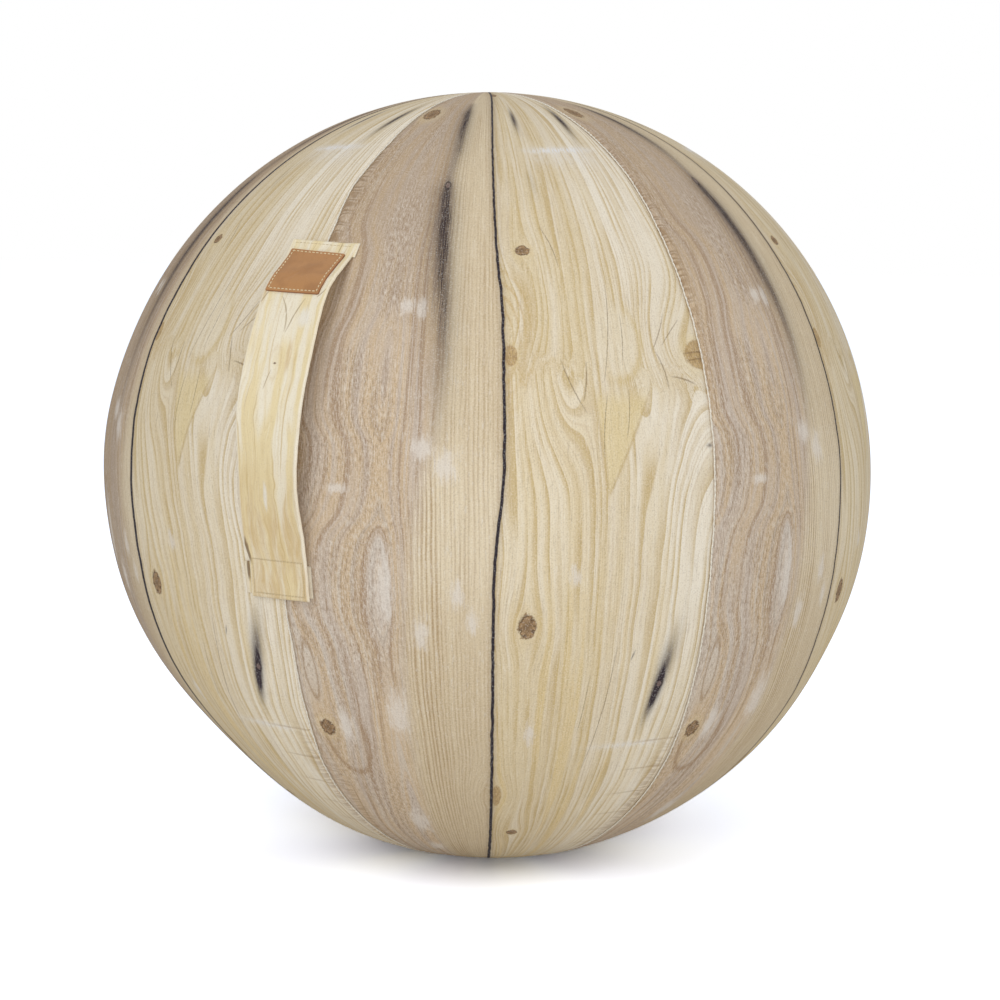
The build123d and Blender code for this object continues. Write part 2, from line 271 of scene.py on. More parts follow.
def read_path(at, lengths, table):
    """Rows of a table that goes with a path, read at an array of lengths along it."""
    return np.stack([np.interp(at, lengths, table[:, axis]) for axis in range(3)], -1)


def tube_faces(rings, sides, start=0, turned=False):
    """Faces of a tube of rings with a cap on each end. Turned is for rings that run clockwise, seen from the
    last one."""
    faces = []
    for ring in range(rings - 1):
        for side in range(sides):
            here, beside = start + ring * sides + side, start + ring * sides + (side + 1) % sides
            faces.append((here, beside, beside + sides, here + sides))
    last = start + (rings - 1) * sides
    faces.append(tuple(range(start, start + sides))[::-1])
    faces.append(tuple(range(last, last + sides)))
    return [face[::-1] for face in faces] if turned else faces


THREAD_SIDES = 6
# How high a stitch stands over the cloth and how deep its ends dip, in radii of its thread.
STITCH_RISE = 0.35
STITCH_DIP = 0.9


def add_thread(points, faces, path, outward, radii):
    """Adds a round thread along a path, with its own radius at each point, to lists of points and faces."""
    along = unit(np.gradient(path, axis=0))
    aside = unit(np.cross(along, outward))
    upward = np.cross(aside, along)
    start = len(points)
    for index in range(len(path)):
        for side in range(THREAD_SIDES):
            turn = 2 * math.pi * side / THREAD_SIDES
            spoke = math.cos(turn) * aside[index] + math.sin(turn) * upward[index]
            points.append(path[index] + radii[index] * spoke)
    faces.extend(tube_faces(len(path), THREAD_SIDES, start, turned=True))


def sew(name, path, outward, pitch, radius, material, gap=0.22):
    """Row of stitches along a path on a cloth face: each rises out of the cloth and dips into it again. The
    gap between two stitches is a share of their pitch."""
    lengths = run_lengths(path)
    count = max(1, round(lengths[-1] / pitch))
    pitch = lengths[-1] / count
    points, faces = [], []
    arch = np.linspace(0, 1, 7)
    for index in range(count):
        at = (index + gap / 2 + (1 - gap) * arch) * pitch
        lift = unit(read_path(at, lengths, outward))
        rise = radius * (np.sin(math.pi * arch) ** 0.5 * (STITCH_RISE + STITCH_DIP) - STITCH_DIP)
        line = read_path(at, lengths, path) + lift * rise[:, None]
        add_thread(points, faces, line, lift, np.full(len(arch), radius))
    piece = new_mesh(name, points, faces)
    piece.data.materials.append(material)
    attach(piece, "cover")


class Field:
    """A value that varies over a surface: one output in a material's node tree, with arithmetic."""

    def __init__(self, tree, socket):
        self.tree = tree
        self.socket = socket

    def math(self, operation, *others):
        node = self.tree.nodes.new("ShaderNodeMath")
        node.operation = operation
        for slot, value in zip(node.inputs, (self, *others)):
            plug(value, slot)
        return Field(self.tree, node.outputs[0])

    def __add__(self, other):
        return self.math("ADD", other)

    def __sub__(self, other):
        return self.math("SUBTRACT", other)

    def __rsub__(self, other):
        return self.math("MULTIPLY", -1.0) + other

    def __mul__(self, other):
        return self.math("MULTIPLY", other)

    def __truediv__(self, other):
        return self.math("DIVIDE", other)

    def size(self):
        return self.math("ABSOLUTE")

    def power(self, exponent):
        return self.math("POWER", exponent)

    def fraction(self):
        return self.math("FRACT")

    def whole(self):
        return self.math("FLOOR")

    def wave(self):
        """Cosine wave from 0 to 1 with a period of 1."""
        return (self * (2 * math.pi)).math("COSINE").math("MULTIPLY_ADD", 0.5, 0.5)

    def bell(self):
        """1 at 0, falling away smoothly on both sides."""
        return (self * self * -1.0).math("EXPONENT")

    def step(self, start, end, low=0.0, high=1.0):
        """Smooth change from low to high as the value goes from start to end."""
        node = self.tree.nodes.new("ShaderNodeMapRange")
        node.interpolation_type = "SMOOTHSTEP"
        plug(self, node.inputs["Value"])
        for label, value in (("From Min", start), ("From Max", end), ("To Min", low), ("To Max", high)):
            node.inputs[label].default_value = value
        return Field(self.tree, node.outputs[0])

    def line(self, points, middle, reach):
        """Smooth line through (place, value) points, whose values all lie within reach of middle."""
        node = self.tree.nodes.new("ShaderNodeFloatCurve")
        curve = node.mapping.curves[0]
        ordered = sorted(points)
        low, high = ordered[0][0], ordered[-1][0]
        for index, (place, value) in enumerate(ordered):
            spot = ((place - low) / (high - low), 0.5 + 0.5 * (value - middle) / reach)
            if index < 2:
                curve.points[index].location = spot
            else:
                curve.points.new(*spot)
        node.mapping.update()
        plug((self - low) / (high - low), node.inputs["Value"])
        return Field(self.tree, node.outputs[0]).math("MULTIPLY_ADD", 2 * reach, middle - reach)


def plug(value, slot):
    """Links a field to a node's input, or sets the input to a number."""
    if isinstance(value, Field):
        value.tree.links.new(value.socket, slot)
    else:
        slot.default_value = value


def together(operation, fields):
    """One field from several, by an operation that takes two at a time."""
    return functools.reduce(lambda first, second: first.math(operation, second), fields)


class Cloth:
    """A material in the making: its node tree, its shader and the fields that are drawn on it."""

    def __init__(self, name, roughness, sheen=0.0, metallic=0.0, specular=0.5):
        self.material = bpy.data.materials.new(name)
        self.material.use_nodes = True
        self.tree = self.material.node_tree
        self.shader = self.tree.nodes["Principled BSDF"]
        finish = {
            "Roughness": roughness,
            "Sheen Weight": sheen,
            "Metallic": metallic,
            "Specular IOR Level": specular,
        }
        for label, value in finish.items():
            self.shader.inputs[label].default_value = value

    def vector(self, attribute):
        """A vector that is stored on the piece's points."""
        node = self.tree.nodes.new("ShaderNodeAttribute")
        node.attribute_name = attribute
        return Field(self.tree, node.outputs["Vector"])

    def place(self):
        """The point's own place in the frame, in metres."""
        node = self.tree.nodes.new("ShaderNodeTexCoord")
        return Field(self.tree, node.outputs["Object"])

    def parts(self, vector):
        node = self.tree.nodes.new("ShaderNodeSeparateXYZ")
        plug(vector, node.inputs[0])
        return [Field(self.tree, output) for output in node.outputs]

    def pair(self, x, y):
        node = self.tree.nodes.new("ShaderNodeCombineXYZ")
        plug(x, node.inputs[0])
        plug(y, node.inputs[1])
        return Field(self.tree, node.outputs[0])

    def noise(self, x, y, detail=1.0, rough=0.5):
        """Cloudy noise from 0 to 1, about 0.5 on average, that turns over once in each whole step."""
        node = self.tree.nodes.new("ShaderNodeTexNoise")
        node.noise_dimensions = "2D"
        node.inputs["Scale"].default_value = 1.0
        node.inputs["Detail"].default_value = detail
        node.inputs["Roughness"].default_value = rough
        plug(self.pair(x, y), node.inputs["Vector"])
        return Field(self.tree, node.outputs[0])

    def grain(self, vector, scale, detail=2.0):
        """Cloudy noise in space, scale times a metre."""
        node = self.tree.nodes.new("ShaderNodeTexNoise")
        node.inputs["Scale"].default_value = scale
        node.inputs["Detail"].default_value = detail
        plug(vector, node.inputs["Vector"])
        return Field(self.tree, node.outputs[0])

    def apart(self, vector, centre, reach):
        """Vector from centre, in shares of reach."""
        shift = self.tree.nodes.new("ShaderNodeVectorMath")
        shift.operation = "SUBTRACT"
        plug(vector, shift.inputs[0])
        shift.inputs[1].default_value = (*centre, 0)
        scale = self.tree.nodes.new("ShaderNodeVectorMath")
        scale.operation = "MULTIPLY"
        self.tree.links.new(shift.outputs[0], scale.inputs[0])
        scale.inputs[1].default_value = (1 / reach[0], 1 / reach[1], 0)
        return Field(self.tree, scale.outputs[0])

    def length(self, vector):
        node = self.tree.nodes.new("ShaderNodeVectorMath")
        node.operation = "LENGTH"
        plug(vector, node.inputs[0])
        return Field(self.tree, node.outputs["Value"])

    def nearest(self, vector, spots):
        """Distance to the nearest oval, where 1 is an oval's edge. Each spot starts with across, up, and its
        half width and half height."""
        ovals = (self.apart(vector, spot[:2], spot[2:4]) for spot in spots)
        return together("MINIMUM", [self.length(oval) for oval in ovals])

    def hairline(self, vector, start, end, bow):
        """Distance from a thin line between two places, bowed to one side, and the share of the way along
        it."""
        (x0, y0), (x1, y1) = start, end
        run = (x1 - x0, y1 - y0)
        long = math.hypot(*run)
        along, aside = (run[0] / long, run[1] / long), (-run[1] / long, run[0] / long)
        shifted = self.apart(vector, start, (1, 1))
        share = self.dot(shifted, along) / long
        beside = self.dot(shifted, aside)
        if bow:
            beside = beside - (share * (1 - share)) * (4 * bow)
        past = (share - 0.5).size() - 0.5
        beyond = past.math("MAXIMUM", 0.0) * long
        return (beside * beside + beyond * beyond).math("SQRT"), share

    def cracks(self, vector, lines, ragged, spread):
        """Darkness of thin cracks that taper to both ends. Each has a start, an end, a bow and a half width,
        and fades out at spread times that width."""
        marks = []
        for start, end, bow, half_width in lines:
            distance, share = self.hairline(vector, start, end, bow)
            taper = (share * (1 - share)).math("MAXIMUM", 0.0) * 4
            mark = (distance + ragged).step(half_width * spread, half_width * 0.4)
            marks.append(mark * taper.power(0.5))
        return together("MAXIMUM", marks)

    def dot(self, vector, axis):
        node = self.tree.nodes.new("ShaderNodeVectorMath")
        node.operation = "DOT_PRODUCT"
        plug(vector, node.inputs[0])
        node.inputs[1].default_value = (*axis, 0)
        return Field(self.tree, node.outputs["Value"])

    def mix(self, low, high, share):
        """Colour between two colours or colour fields."""
        node = self.tree.nodes.new("ShaderNodeMix")
        node.data_type = "RGBA"
        node.clamp_factor = True
        plug(share, node.inputs[0])
        for value, slot in ((low, node.inputs[6]), (high, node.inputs[7])):
            plug(value if isinstance(value, Field) else (*value, 1.0), slot)
        return Field(self.tree, node.outputs[2])

    def ink(self, colour, screen_colour, share):
        """A colour with a screen colour printed over it, as strongly as a share says."""
        return self.mix(colour, srgb(*screen_colour), share)

    def finish(self, colour, height, depth, strength, roughness=None):
        """Puts the colour and the bump, a height field times depth in metres, on the shader."""
        plug(colour, self.shader.inputs["Base Color"])
        if roughness is not None:
            plug(roughness, self.shader.inputs["Roughness"])
        bump = self.tree.nodes.new("ShaderNodeBump")
        bump.inputs["Distance"].default_value = depth
        bump.inputs["Strength"].default_value = strength
        plug(height, bump.inputs["Height"])
        self.tree.links.new(bump.outputs[0], self.shader.inputs["Normal"])
        return self.material


# The print on each panel, in degrees across and up. The gap between its two planks, the vein of the brown
# plank, the dark stain and the brown plank's edge are lines of (up, across), and the stain's darkness is a
# line of (up, share).
GAP_LINE = (
    (-90, -1.2), (-72, -1.2), (-54, -0.85), (-26, -0.75), (-11, -0.7), (-6, -0.6), (-1, -0.2), (4, 0.37),
    (9, 0.7), (19, 0.75), (29, 0.7), (34, 0.3), (44, -0.2), (54, -0.3), (64, -0.06), (72, 0.45), (80, 1.2),
    (90, 1.6),
)
VEIN_LINE = (
    (-90, -24.0), (-60, -24.0), (-45, -22.0), (-30, -20.2), (-18, -19.8), (-10, -21.3), (-3, -20.6),
    (3, -17.6), (9, -16.9), (15, -18.8), (23, -18.8), (30, -17.3), (36, -17.2), (44, -19.6), (54, -19.2),
    (66, -17.5), (90, -16.0),
)
STAIN_LINE = (
    (8, -8.2), (20, -7.7), (26, -7.8), (33, -8.4), (40, -9.0), (45, -9.3), (50, -9.6), (58, -8.8),
    (64, -9.0), (70, -9.2), (76, -9.2),
)
STAIN_DARKNESS = (
    (8, 0.0), (14, 0.14), (20, 0.32), (26, 0.55), (32, 0.78), (38, 0.92), (44, 1.0), (48, 0.9), (50.5, 0.5),
    (53, 0.4), (57, 0.56), (61, 0.76), (65, 0.94), (68.5, 1.0), (71, 0.7), (76, 0.0),
)
BROWN_EDGE = (
    (-90, -13.0), (-50, -14.0), (-20, -13.0), (-5, -11.5), (5, -10.0), (15, -8.2), (25, -7.6), (35, -8.2),
    (50, -9.0), (70, -9.4), (90, -9.0),
)
# Knots and tan spots: across, up, half width, half height.
KNOTS = (
    (-23.8, 69.0, 2.7, 2.0),
    (3.2, 80.5, 2.6, 1.4),
    (4.25, 37.6, 1.15, 0.8),
    (3.75, -12.9, 1.15, 1.65),
    (4.1, -53.4, 1.25, 0.8),
    (-27.0, -29.9, 1.2, 1.35),
)
TAN_SPOTS = (
    (30.4, 22.0, 3.1, 2.2),
    (1.7, 22.4, 1.0, 1.5),
    (0.1, -42.4, 0.9, 2.6),
)
# Grain bends round these: across, up, reach across, reach up and strength.
BENDS = (
    (4.25, 37.5, 2.4, 4.5, 0.85),
    (30.5, 22.1, 5.5, 4.5, 1.0),
    (3.75, -12.9, 2.8, 5.5, 0.95),
    (4.1, -53.4, 2.8, 4.0, 0.85),
    (-27.0, -29.9, 3.0, 5.0, 0.9),
    (-27.2, -20.4, 2.2, 6.0, 1.2),
    (-23.8, 69.0, 5.0, 4.5, 0.8),
    (23.9, -22.6, 2.4, 8.0, 0.5),
    (-0.6, -42.4, 3.4, 4.5, 1.1),
    (25.0, 68.0, 2.4, 7.0, 0.5),
)
# Dark ovals: across, up, reach across, reach up, lean and darkness.
DARK_OVALS = (
    (7.6, 66.8, 0.9, 3.5, 0.05, 0.95),
    (25.0, 66.6, 1.15, 4.8, 0.2, 1.0),
    (23.6, -24.0, 0.72, 3.9, 0.14, 1.15),
    (24.2, -19.6, 1.15, 4.8, 0.16, 0.58),
    (18.9, -17.7, 0.12, 0.6, 0.3, 0.7),
    (29.4, 9.9, 0.5, 0.25, 0.0, 0.7),
    (7.6, 50.0, 1.0, 3.0, -0.1, 0.14),
)
# Small ring marks in the dark: across and up, half width and half height.
RING_MARKS = (((23.9, -22.5), (0.5, 0.62)), ((-9.6, 49.3), (0.55, 0.7)))
# Pale rubbed patches: across, up, half width, half height.
PALE_PATCHES = (
    (-15.0, -8.0, 1.0, 3.6),
    (-14.7, -26.5, 1.3, 3.0),
    (-5.4, -8.6, 0.7, 1.4),
    (-3.5, -12.2, 0.6, 1.3),
    (-6.9, 8.0, 1.1, 1.6),
    (-10.0, 10.3, 1.2, 1.2),
    (-21.4, 4.9, 1.2, 0.5),
    (9.9, -6.2, 0.6, 1.1),
    (-23.6, -29.4, 1.0, 2.3),
    (-10.4, -14.0, 0.8, 1.8),
    (-16.2, -50.5, 1.6, 2.8),
    (-13.4, 29.2, 0.9, 0.9),
    (-11.2, 28.8, 0.7, 1.1),
    (4.8, -29.4, 0.6, 1.5),
    (-16.5, -61.0, 1.8, 1.6),
)
# Dark hairlines: start, end, bow and half width, in degrees.
HAIRLINES = (
    ((16.9, 32.7), (14.5, 18.6), 0.3, 0.05),
    ((18.2, 28.1), (17.4, 20.8), 0.2, 0.04),
    ((12.2, 21.5), (11.4, 16.2), 0.2, 0.07),
    ((8.6, 22.0), (11.9, 14.6), -0.3, 0.06),
    ((14.9, 17.3), (13.9, 8.7), -0.3, 0.05),
    ((17.9, 17.8), (17.1, 11.3), 0.2, 0.05),
    ((22.8, 22.6), (24.0, 17.6), 0.3, 0.07),
    ((25.4, 28.0), (22.2, 22.6), 0.2, 0.06),
    ((27.8, 27.0), (24.0, 23.4), -0.1, 0.05),
    ((24.6, 19.2), (28.4, 18.0), 0.2, 0.08),
    ((27.2, 22.2), (31.0, 22.4), 0.05, 0.08),
    ((27.6, 21.2), (31.0, 21.5), 0.05, 0.08),
    ((7.6, 41.5), (9.8, 35.0), 0.4, 0.06),
    ((16.4, -16.0), (14.4, -37.0), 0.2, 0.05),
    ((12.9, -20.0), (12.2, -30.0), 0.1, 0.04),
)


class Planks:
    """The fields that the parts of the plank print share."""

    def __init__(self, cloth, settings):
        self.cloth = cloth
        self.settings = settings
        self.vector = cloth.vector("panel")
        self.across, self.up, panel = cloth.parts(self.vector)
        sway = cloth.noise(self.across * 0.05, self.up * 0.035, 2.0) - 0.5
        flutter = cloth.noise(self.across * 0.3 + 7.0, self.up * 0.16, 1.0) - 0.5
        bend = sway * 1.4 + flutter * 0.3
        for x, y, reach_across, reach_up, strength in BENDS:
            away = cloth.apart(self.vector, (x, y), (reach_across, reach_up))
            part = cloth.parts(away)[0]
            bend = bend - part * cloth.length(away).bell() * (strength * reach_across)
        self.bend = bend
        self.fibre = cloth.noise((self.across + bend) * 6.0, self.up * 0.25, 3.0, 0.65)
        self.cloud = cloth.noise(self.across * 0.11 + 3.0, self.up * 0.05, 2.0)
        self.fur = cloth.noise((self.across + self.up * 0.1) * 5.0, self.up * 1.2, 2.0, 0.6)
        self.pile = cloth.grain(cloth.place(), 950.0, 2.0)
        self.scuffs = cloth.noise(self.across * 2.2, self.up * 0.55, 2.0, 0.6)
        # 1 on the last panel, whose brown plank was laid nearer to its gap and whose left part gets painted
        # shade, and 0 on the others.
        self.last_panel = panel.step(PANEL_COUNT - 1.6, PANEL_COUNT - 1.4)

    def oval(self, x, y, reach_across, reach_up, lean):
        """Soft oval that leans with the grain: 1 in its middle."""
        away_across, away_up, _ = self.cloth.parts(self.cloth.apart(self.vector, (x, y), (1, 1)))
        return ((away_across - away_up * lean) / reach_across).bell() * (away_up / reach_up).bell()


def yellow_plank(planks):
    """Colour of the plank right of the gap: yellow rings that arch round knots, with a tear across them."""
    cloth, across, up, bend = planks.cloth, planks.across, planks.up, planks.bend
    jagged = cloth.noise(across * 0.5 + 3.0, up * 0.12, 3.0, 0.65) - 0.5
    tear = up + (planks.fibre - 0.5) * 3.0 + jagged * 9.0 + across.step(12.0, 26.0) * 2.0
    below = tear.step(21.6, 19.2)
    rise = up.step(3.0, 21.0)
    fan = (across - 0.8) * rise * across.step(13.5, 7.0) * 0.8
    lift = (up + 5.0).math("MAXIMUM", 0.0) * 0.41
    arch = 31.0 - ((31.0 - across) * (31.0 - across) + lift * lift).math("SQRT") - across
    left_swell = ((up - 28.5) / 8.0).bell() * across.step(12.0, 6.0) * -2.8
    right_swell = ((up - 25.5) / 6.0).bell() * across.step(17.0, 26.0) * 3.4
    arched = (fan + arch * across.step(17.5, 21.0)) * below
    grain = across + bend + arched + (left_swell + right_swell) * (1 - below)

    band = cloth.noise(grain * 0.36 + 11.0, up * 0.02, 3.0, 0.6)
    drift = cloth.noise(grain * 0.3 + 5.0, up * 0.01, 1.0)
    ring_place = grain / 1.35 + drift * 2.6
    ring = ring_place.fraction()
    strength = cloth.noise(ring_place.whole() * 3.7, up * 0.06, 1.0).step(0.3, 0.62)
    ring_line = ring.step(0.3, 0.92) * ring.step(1.0, 0.95) * (strength * 0.85 + 0.15)
    fine_line = (grain / 0.43 + drift * 5.0).wave().power(3.0) * planks.cloud.step(0.62, 0.38)

    pale, yellow = srgb(*planks.settings.pale_wood), srgb(*planks.settings.yellow_wood)
    colour = cloth.mix(pale, yellow, band.step(0.38, 0.62) * 0.8)
    pale_side = across.step(19.0, 24.0) * up.step(19.0, 13.0)
    pale_side = pale_side + across.step(13.0, 22.0) * up.step(26.0, 50.0) * 0.7
    pale_side = pale_side + across.step(19.0, 26.0) * up.step(-20.0, -27.0) * 0.8
    pale_side = pale_side + across.step(13.0, 20.0) * 0.55
    colour = cloth.ink(colour, (242, 233, 215), pale_side * band.step(0.76, 0.46, 0.15, 0.8))
    golden = cloth.noise(grain * 0.55 + 40.0, up * 0.016, 2.0).step(0.44, 0.64) * up.step(12.0, -26.0)
    colour = cloth.ink(colour, (224, 198, 136), golden * across.step(30.0, 18.0) * 0.55)
    # Painted highlight: the yellow plank is paler just below the ball's middle, standing in for the front
    # light.
    painted_highlight_zone = below * up.step(-16.0, -3.0) * across.step(16.0, 8.0)
    colour = cloth.ink(colour, (244, 232, 206), painted_highlight_zone * 0.35)
    colour = cloth.ink(colour, (203, 178, 126), ring_line * 0.8)
    colour = cloth.ink(colour, (196, 170, 130), fine_line * 0.28)
    arms = (across - 14.3 - (up - 4.0) * 0.2).size() - (up - 4.0) * 0.3
    in_arms = up.step(3.0, 5.0) * up.step(18.5, 15.0)
    colour = cloth.ink(colour, (226, 207, 160), arms.step(0.4, -0.5) * in_arms * 0.8)
    colour = cloth.ink(colour, (196, 170, 118), (arms / 0.22).bell() * in_arms * 0.6)
    oval = cloth.length(cloth.apart(planks.vector, (16.9, 24.3), (3.9, 6.0)))
    oval = oval + (planks.fibre - 0.5) * 0.3
    colour = cloth.ink(colour, (233, 221, 196), oval.step(1.0, 0.6) * 0.6)
    oval_edge = ((oval - 0.93) / 0.1).bell() * (across - up * 0.4).step(6.0, 10.5)
    colour = cloth.ink(colour, (208, 184, 128), oval_edge * 0.6)
    swirl = cloth.length(cloth.apart(planks.vector, (0.4, 24.6), (1.0, 2.3))) + bend * 0.4
    arcs = (swirl * 1.15).wave().power(3.0) * swirl.step(1.0, 1.8) * swirl.step(5.6, 3.4)
    arcs = arcs * (planks.cloud.step(0.35, 0.6) * 0.6 + 0.4)
    colour = cloth.ink(colour, (198, 164, 98), arcs * 0.42)
    torn = ((tear - 20.4) / 1.2).bell() * across.step(9.0, 3.0)
    return cloth.ink(colour, (200, 172, 120), torn * 0.35)


def straight_strip(planks):
    """Colour of the fine, straight grain left of the gap."""
    cloth, across, up = planks.cloth, planks.across, planks.up
    grain = across + planks.bend * 0.6
    place = grain / 0.62 + (cloth.noise(grain * 0.9 + 2.0, up * 0.006, 1.0) - 0.5) * 1.2
    pin = place.wave().power(1.5)
    strength = cloth.noise(place.whole() * 0.37 + 9.0, up * 0.05, 2.0).step(0.32, 0.66)
    strip = srgb(*planks.settings.strip_wood)
    colour = cloth.ink(strip, (212, 193, 161), cloth.noise(grain * 0.35, up * 0.02, 2.0))
    # Painted highlight: the strip is paler around the ball's middle height, standing in for the front light.
    painted_highlight_zone = up.step(-14.0, -4.0) * up.step(14.0, 4.0)
    colour = cloth.ink(colour, (240, 227, 200), painted_highlight_zone * 0.45)
    colour = cloth.ink(colour, (207, 189, 156), up.step(-6.0, -40.0) * 0.4)
    brown_pins = across.step(-14.0, -11.5) * across.step(-6.0, -9.0) * up.step(16.0, 2.0)
    return cloth.ink(colour, (178, 150, 112), pin * (strength * 0.42 + 0.1 + brown_pins * 0.4))


def brown_plank(planks):
    """Colour of the brown plank left of the strip: long winding veins in rough, grey-brown wood."""
    cloth, across, up = planks.cloth, planks.across, planks.up
    winding = up.line(VEIN_LINE, -20.0, 6.0)
    grain = across - winding * across.step(-9.0, -16.0) + planks.bend
    streak = cloth.noise(grain * 0.3 + 3.0, up * 0.015, 3.0, 0.6)
    vein = cloth.noise(grain * 0.75 + 31.0, up * 0.02, 2.0, 0.55)
    colour = cloth.ink(srgb(*planks.settings.brown_wood), (210, 186, 154), streak.step(0.38, 0.6))
    colour = cloth.ink(colour, (168, 140, 112), vein.step(0.54, 0.7) * 0.7)
    colour = cloth.ink(colour, (212, 202, 190), vein.step(0.44, 0.3) * 0.6)
    line = (grain / 1.7 + streak * 3.0).wave().power(5.0)
    colour = cloth.ink(colour, (158, 131, 104), line * planks.cloud.step(0.35, 0.6) * 0.4)
    colour = cloth.ink(colour, (176, 152, 124), up.step(20.0, 45.0) * 0.5)
    rough = across.step(-10.0, -16.0) * planks.cloud.step(0.3, 0.55) * 0.8 + 0.25
    colour = cloth.ink(colour, (228, 219, 206), planks.fur.step(0.52, 0.72) * rough * 0.5)
    colour = cloth.ink(colour, (142, 116, 92), planks.fur.step(0.48, 0.28) * rough * 0.5)
    outline = cloth.length(cloth.apart(planks.vector, (-24.2, -32.0), (3.6, 6.4)))
    vee = ((outline - 1.0 + (planks.fur - 0.5) * 0.3) / 0.09).bell() * up.step(-27.0, -31.0)
    colour = cloth.ink(colour, (160, 128, 92), vee * 0.7)
    slot = cloth.length(cloth.apart(planks.vector, (-27.3, -20.4), (0.9, 4.4)))
    return cloth.ink(colour, (160, 130, 98), ((slot - 1.0) / 0.16).bell() * 0.6)


def knot_marks(planks, colour):
    """Adds the tan spots, the knots and the hairline cracks to a colour."""
    cloth, vector = planks.cloth, planks.vector
    ragged = cloth.noise(planks.across * 1.5, planks.up * 1.5, 3.0, 0.6)
    spot = cloth.nearest(vector, TAN_SPOTS) + (planks.fibre - 0.5) * 0.25
    colour = cloth.ink(colour, (222, 202, 158), spot.step(1.7, 1.05) * 0.5)
    spot_colour = cloth.mix(srgb(198, 168, 118), srgb(166, 136, 94), planks.fur.step(0.35, 0.65))
    colour = cloth.mix(colour, spot_colour, spot.step(1.05, 0.85) * 0.85)
    knot = cloth.nearest(vector, KNOTS) + (ragged - 0.5) * 0.95
    colour = cloth.ink(colour, (222, 200, 156), knot.step(2.3, 1.1) * 0.4)
    rings = (knot * 2.2).wave()
    inside = cloth.mix(srgb(172, 140, 102), srgb(122, 97, 72), rings * 0.45 + ragged.step(0.4, 0.62) * 0.55)
    inside = cloth.ink(inside, (104, 82, 62), knot.step(0.55, 0.1) * 0.6)
    colour = cloth.mix(colour, inside, knot.step(1.1, 0.92) * 0.95)
    rim = ((knot - 0.95) / 0.13).bell() * ragged.step(0.3, 0.6)
    colour = cloth.ink(colour, (92, 70, 52), rim * 0.75)
    cracks = cloth.cracks(vector, HAIRLINES, (planks.fur - 0.5) * 0.16, 2.4)
    return cloth.ink(colour, (128, 102, 70), cracks * 0.6)


def dark_stains(planks, colour):
    """Adds the long stain, the dark ovals and their ring marks to a colour."""
    cloth, across, up = planks.cloth, planks.across, planks.up
    darkness = up.line(STAIN_DARKNESS, 0.5, 0.6) * up.step(8.0, 12.0) * up.step(76.0, 73.0)
    aside = across - up.line(STAIN_LINE, -8.5, 3.0) + planks.bend * 0.2
    streaky = planks.fibre.step(0.25, 0.75, 0.55, 1.2)
    core = aside.bell() * 0.5 + (aside / 2.4).bell() * 0.5
    skirt = ((aside + 0.4) / 3.4).bell() * 0.2
    colour = cloth.ink(colour, planks.settings.stain, darkness * streaky * (core + skirt))
    ovals = together("ADD", [planks.oval(*place) * amount for *place, amount in DARK_OVALS])
    colour = cloth.ink(colour, (56, 47, 54), ovals * planks.fibre.step(0.25, 0.75, 0.82, 1.15))
    for centre, reach in RING_MARKS:
        ring = cloth.length(cloth.apart(planks.vector, centre, reach))
        colour = cloth.ink(colour, (132, 112, 106), ring.step(0.95, 0.5) * 0.7)
        colour = cloth.ink(colour, (48, 38, 42), ((ring - 1.05) / 0.25).bell() * 0.8)
    return colour


def rubbed_marks_and_highlights(planks, colour):
    """Adds the pale rubbed patches, the flecks and two painted highlights, thin white streaks, to a colour.
    """
    cloth, across, up, scuffs = planks.cloth, planks.across, planks.up, planks.scuffs
    patch = cloth.nearest(planks.vector, PALE_PATCHES) + (scuffs - 0.5) * 2.4 + (planks.fibre - 0.5) * 1.6
    colour = cloth.ink(colour, (231, 223, 213), patch.step(1.75, 0.45) * 0.7)
    fleck_zone = up.step(-42.0, -20.0) * up.step(36.0, 16.0) * across.step(2.0, -2.0)
    colour = cloth.ink(colour, (228, 220, 208), scuffs.step(0.62, 0.74) * fleck_zone * 0.4)
    # Painted highlights: two thin white streaks across the yellow plank, high and low on the ball.
    highlight_streak = ((up - 57.4 - (across - 17.0) * 0.02) / 0.7).bell() + ((up - 55.6) / 2.4).bell() * 0.45
    highlight_streak = highlight_streak * (across.step(5.0, 12.0) * across.step(30.0, 20.0))
    low_highlight_streak = ((up + 32.7) / 0.55).bell() * across.step(11.0, 21.0) * across.step(30.0, 24.0) * 0.7
    uneven = scuffs.step(0.3, 0.66, 0.2, 0.75)
    return cloth.ink(colour, (238, 238, 240), (highlight_streak + low_highlight_streak) * uneven)


def gap_line(planks, colour, from_gap):
    """Adds the dark gap between the planks, ragged and narrowing towards the poles, to a colour."""
    cloth, up = planks.cloth, planks.up
    beside = from_gap * (up * math.radians(1)).math("COSINE")
    half_gap = up.step(70.0, 10.0, 0.135, 0.2) + (planks.scuffs - 0.5) * 0.12 + planks.last_panel * 0.2
    gap = (beside.size() - half_gap).step(0.06, -0.05)
    colour = cloth.ink(colour, (140, 116, 92), (beside / 0.6).bell() * 0.4)
    return cloth.ink(colour, planks.settings.gap, gap * 0.98)


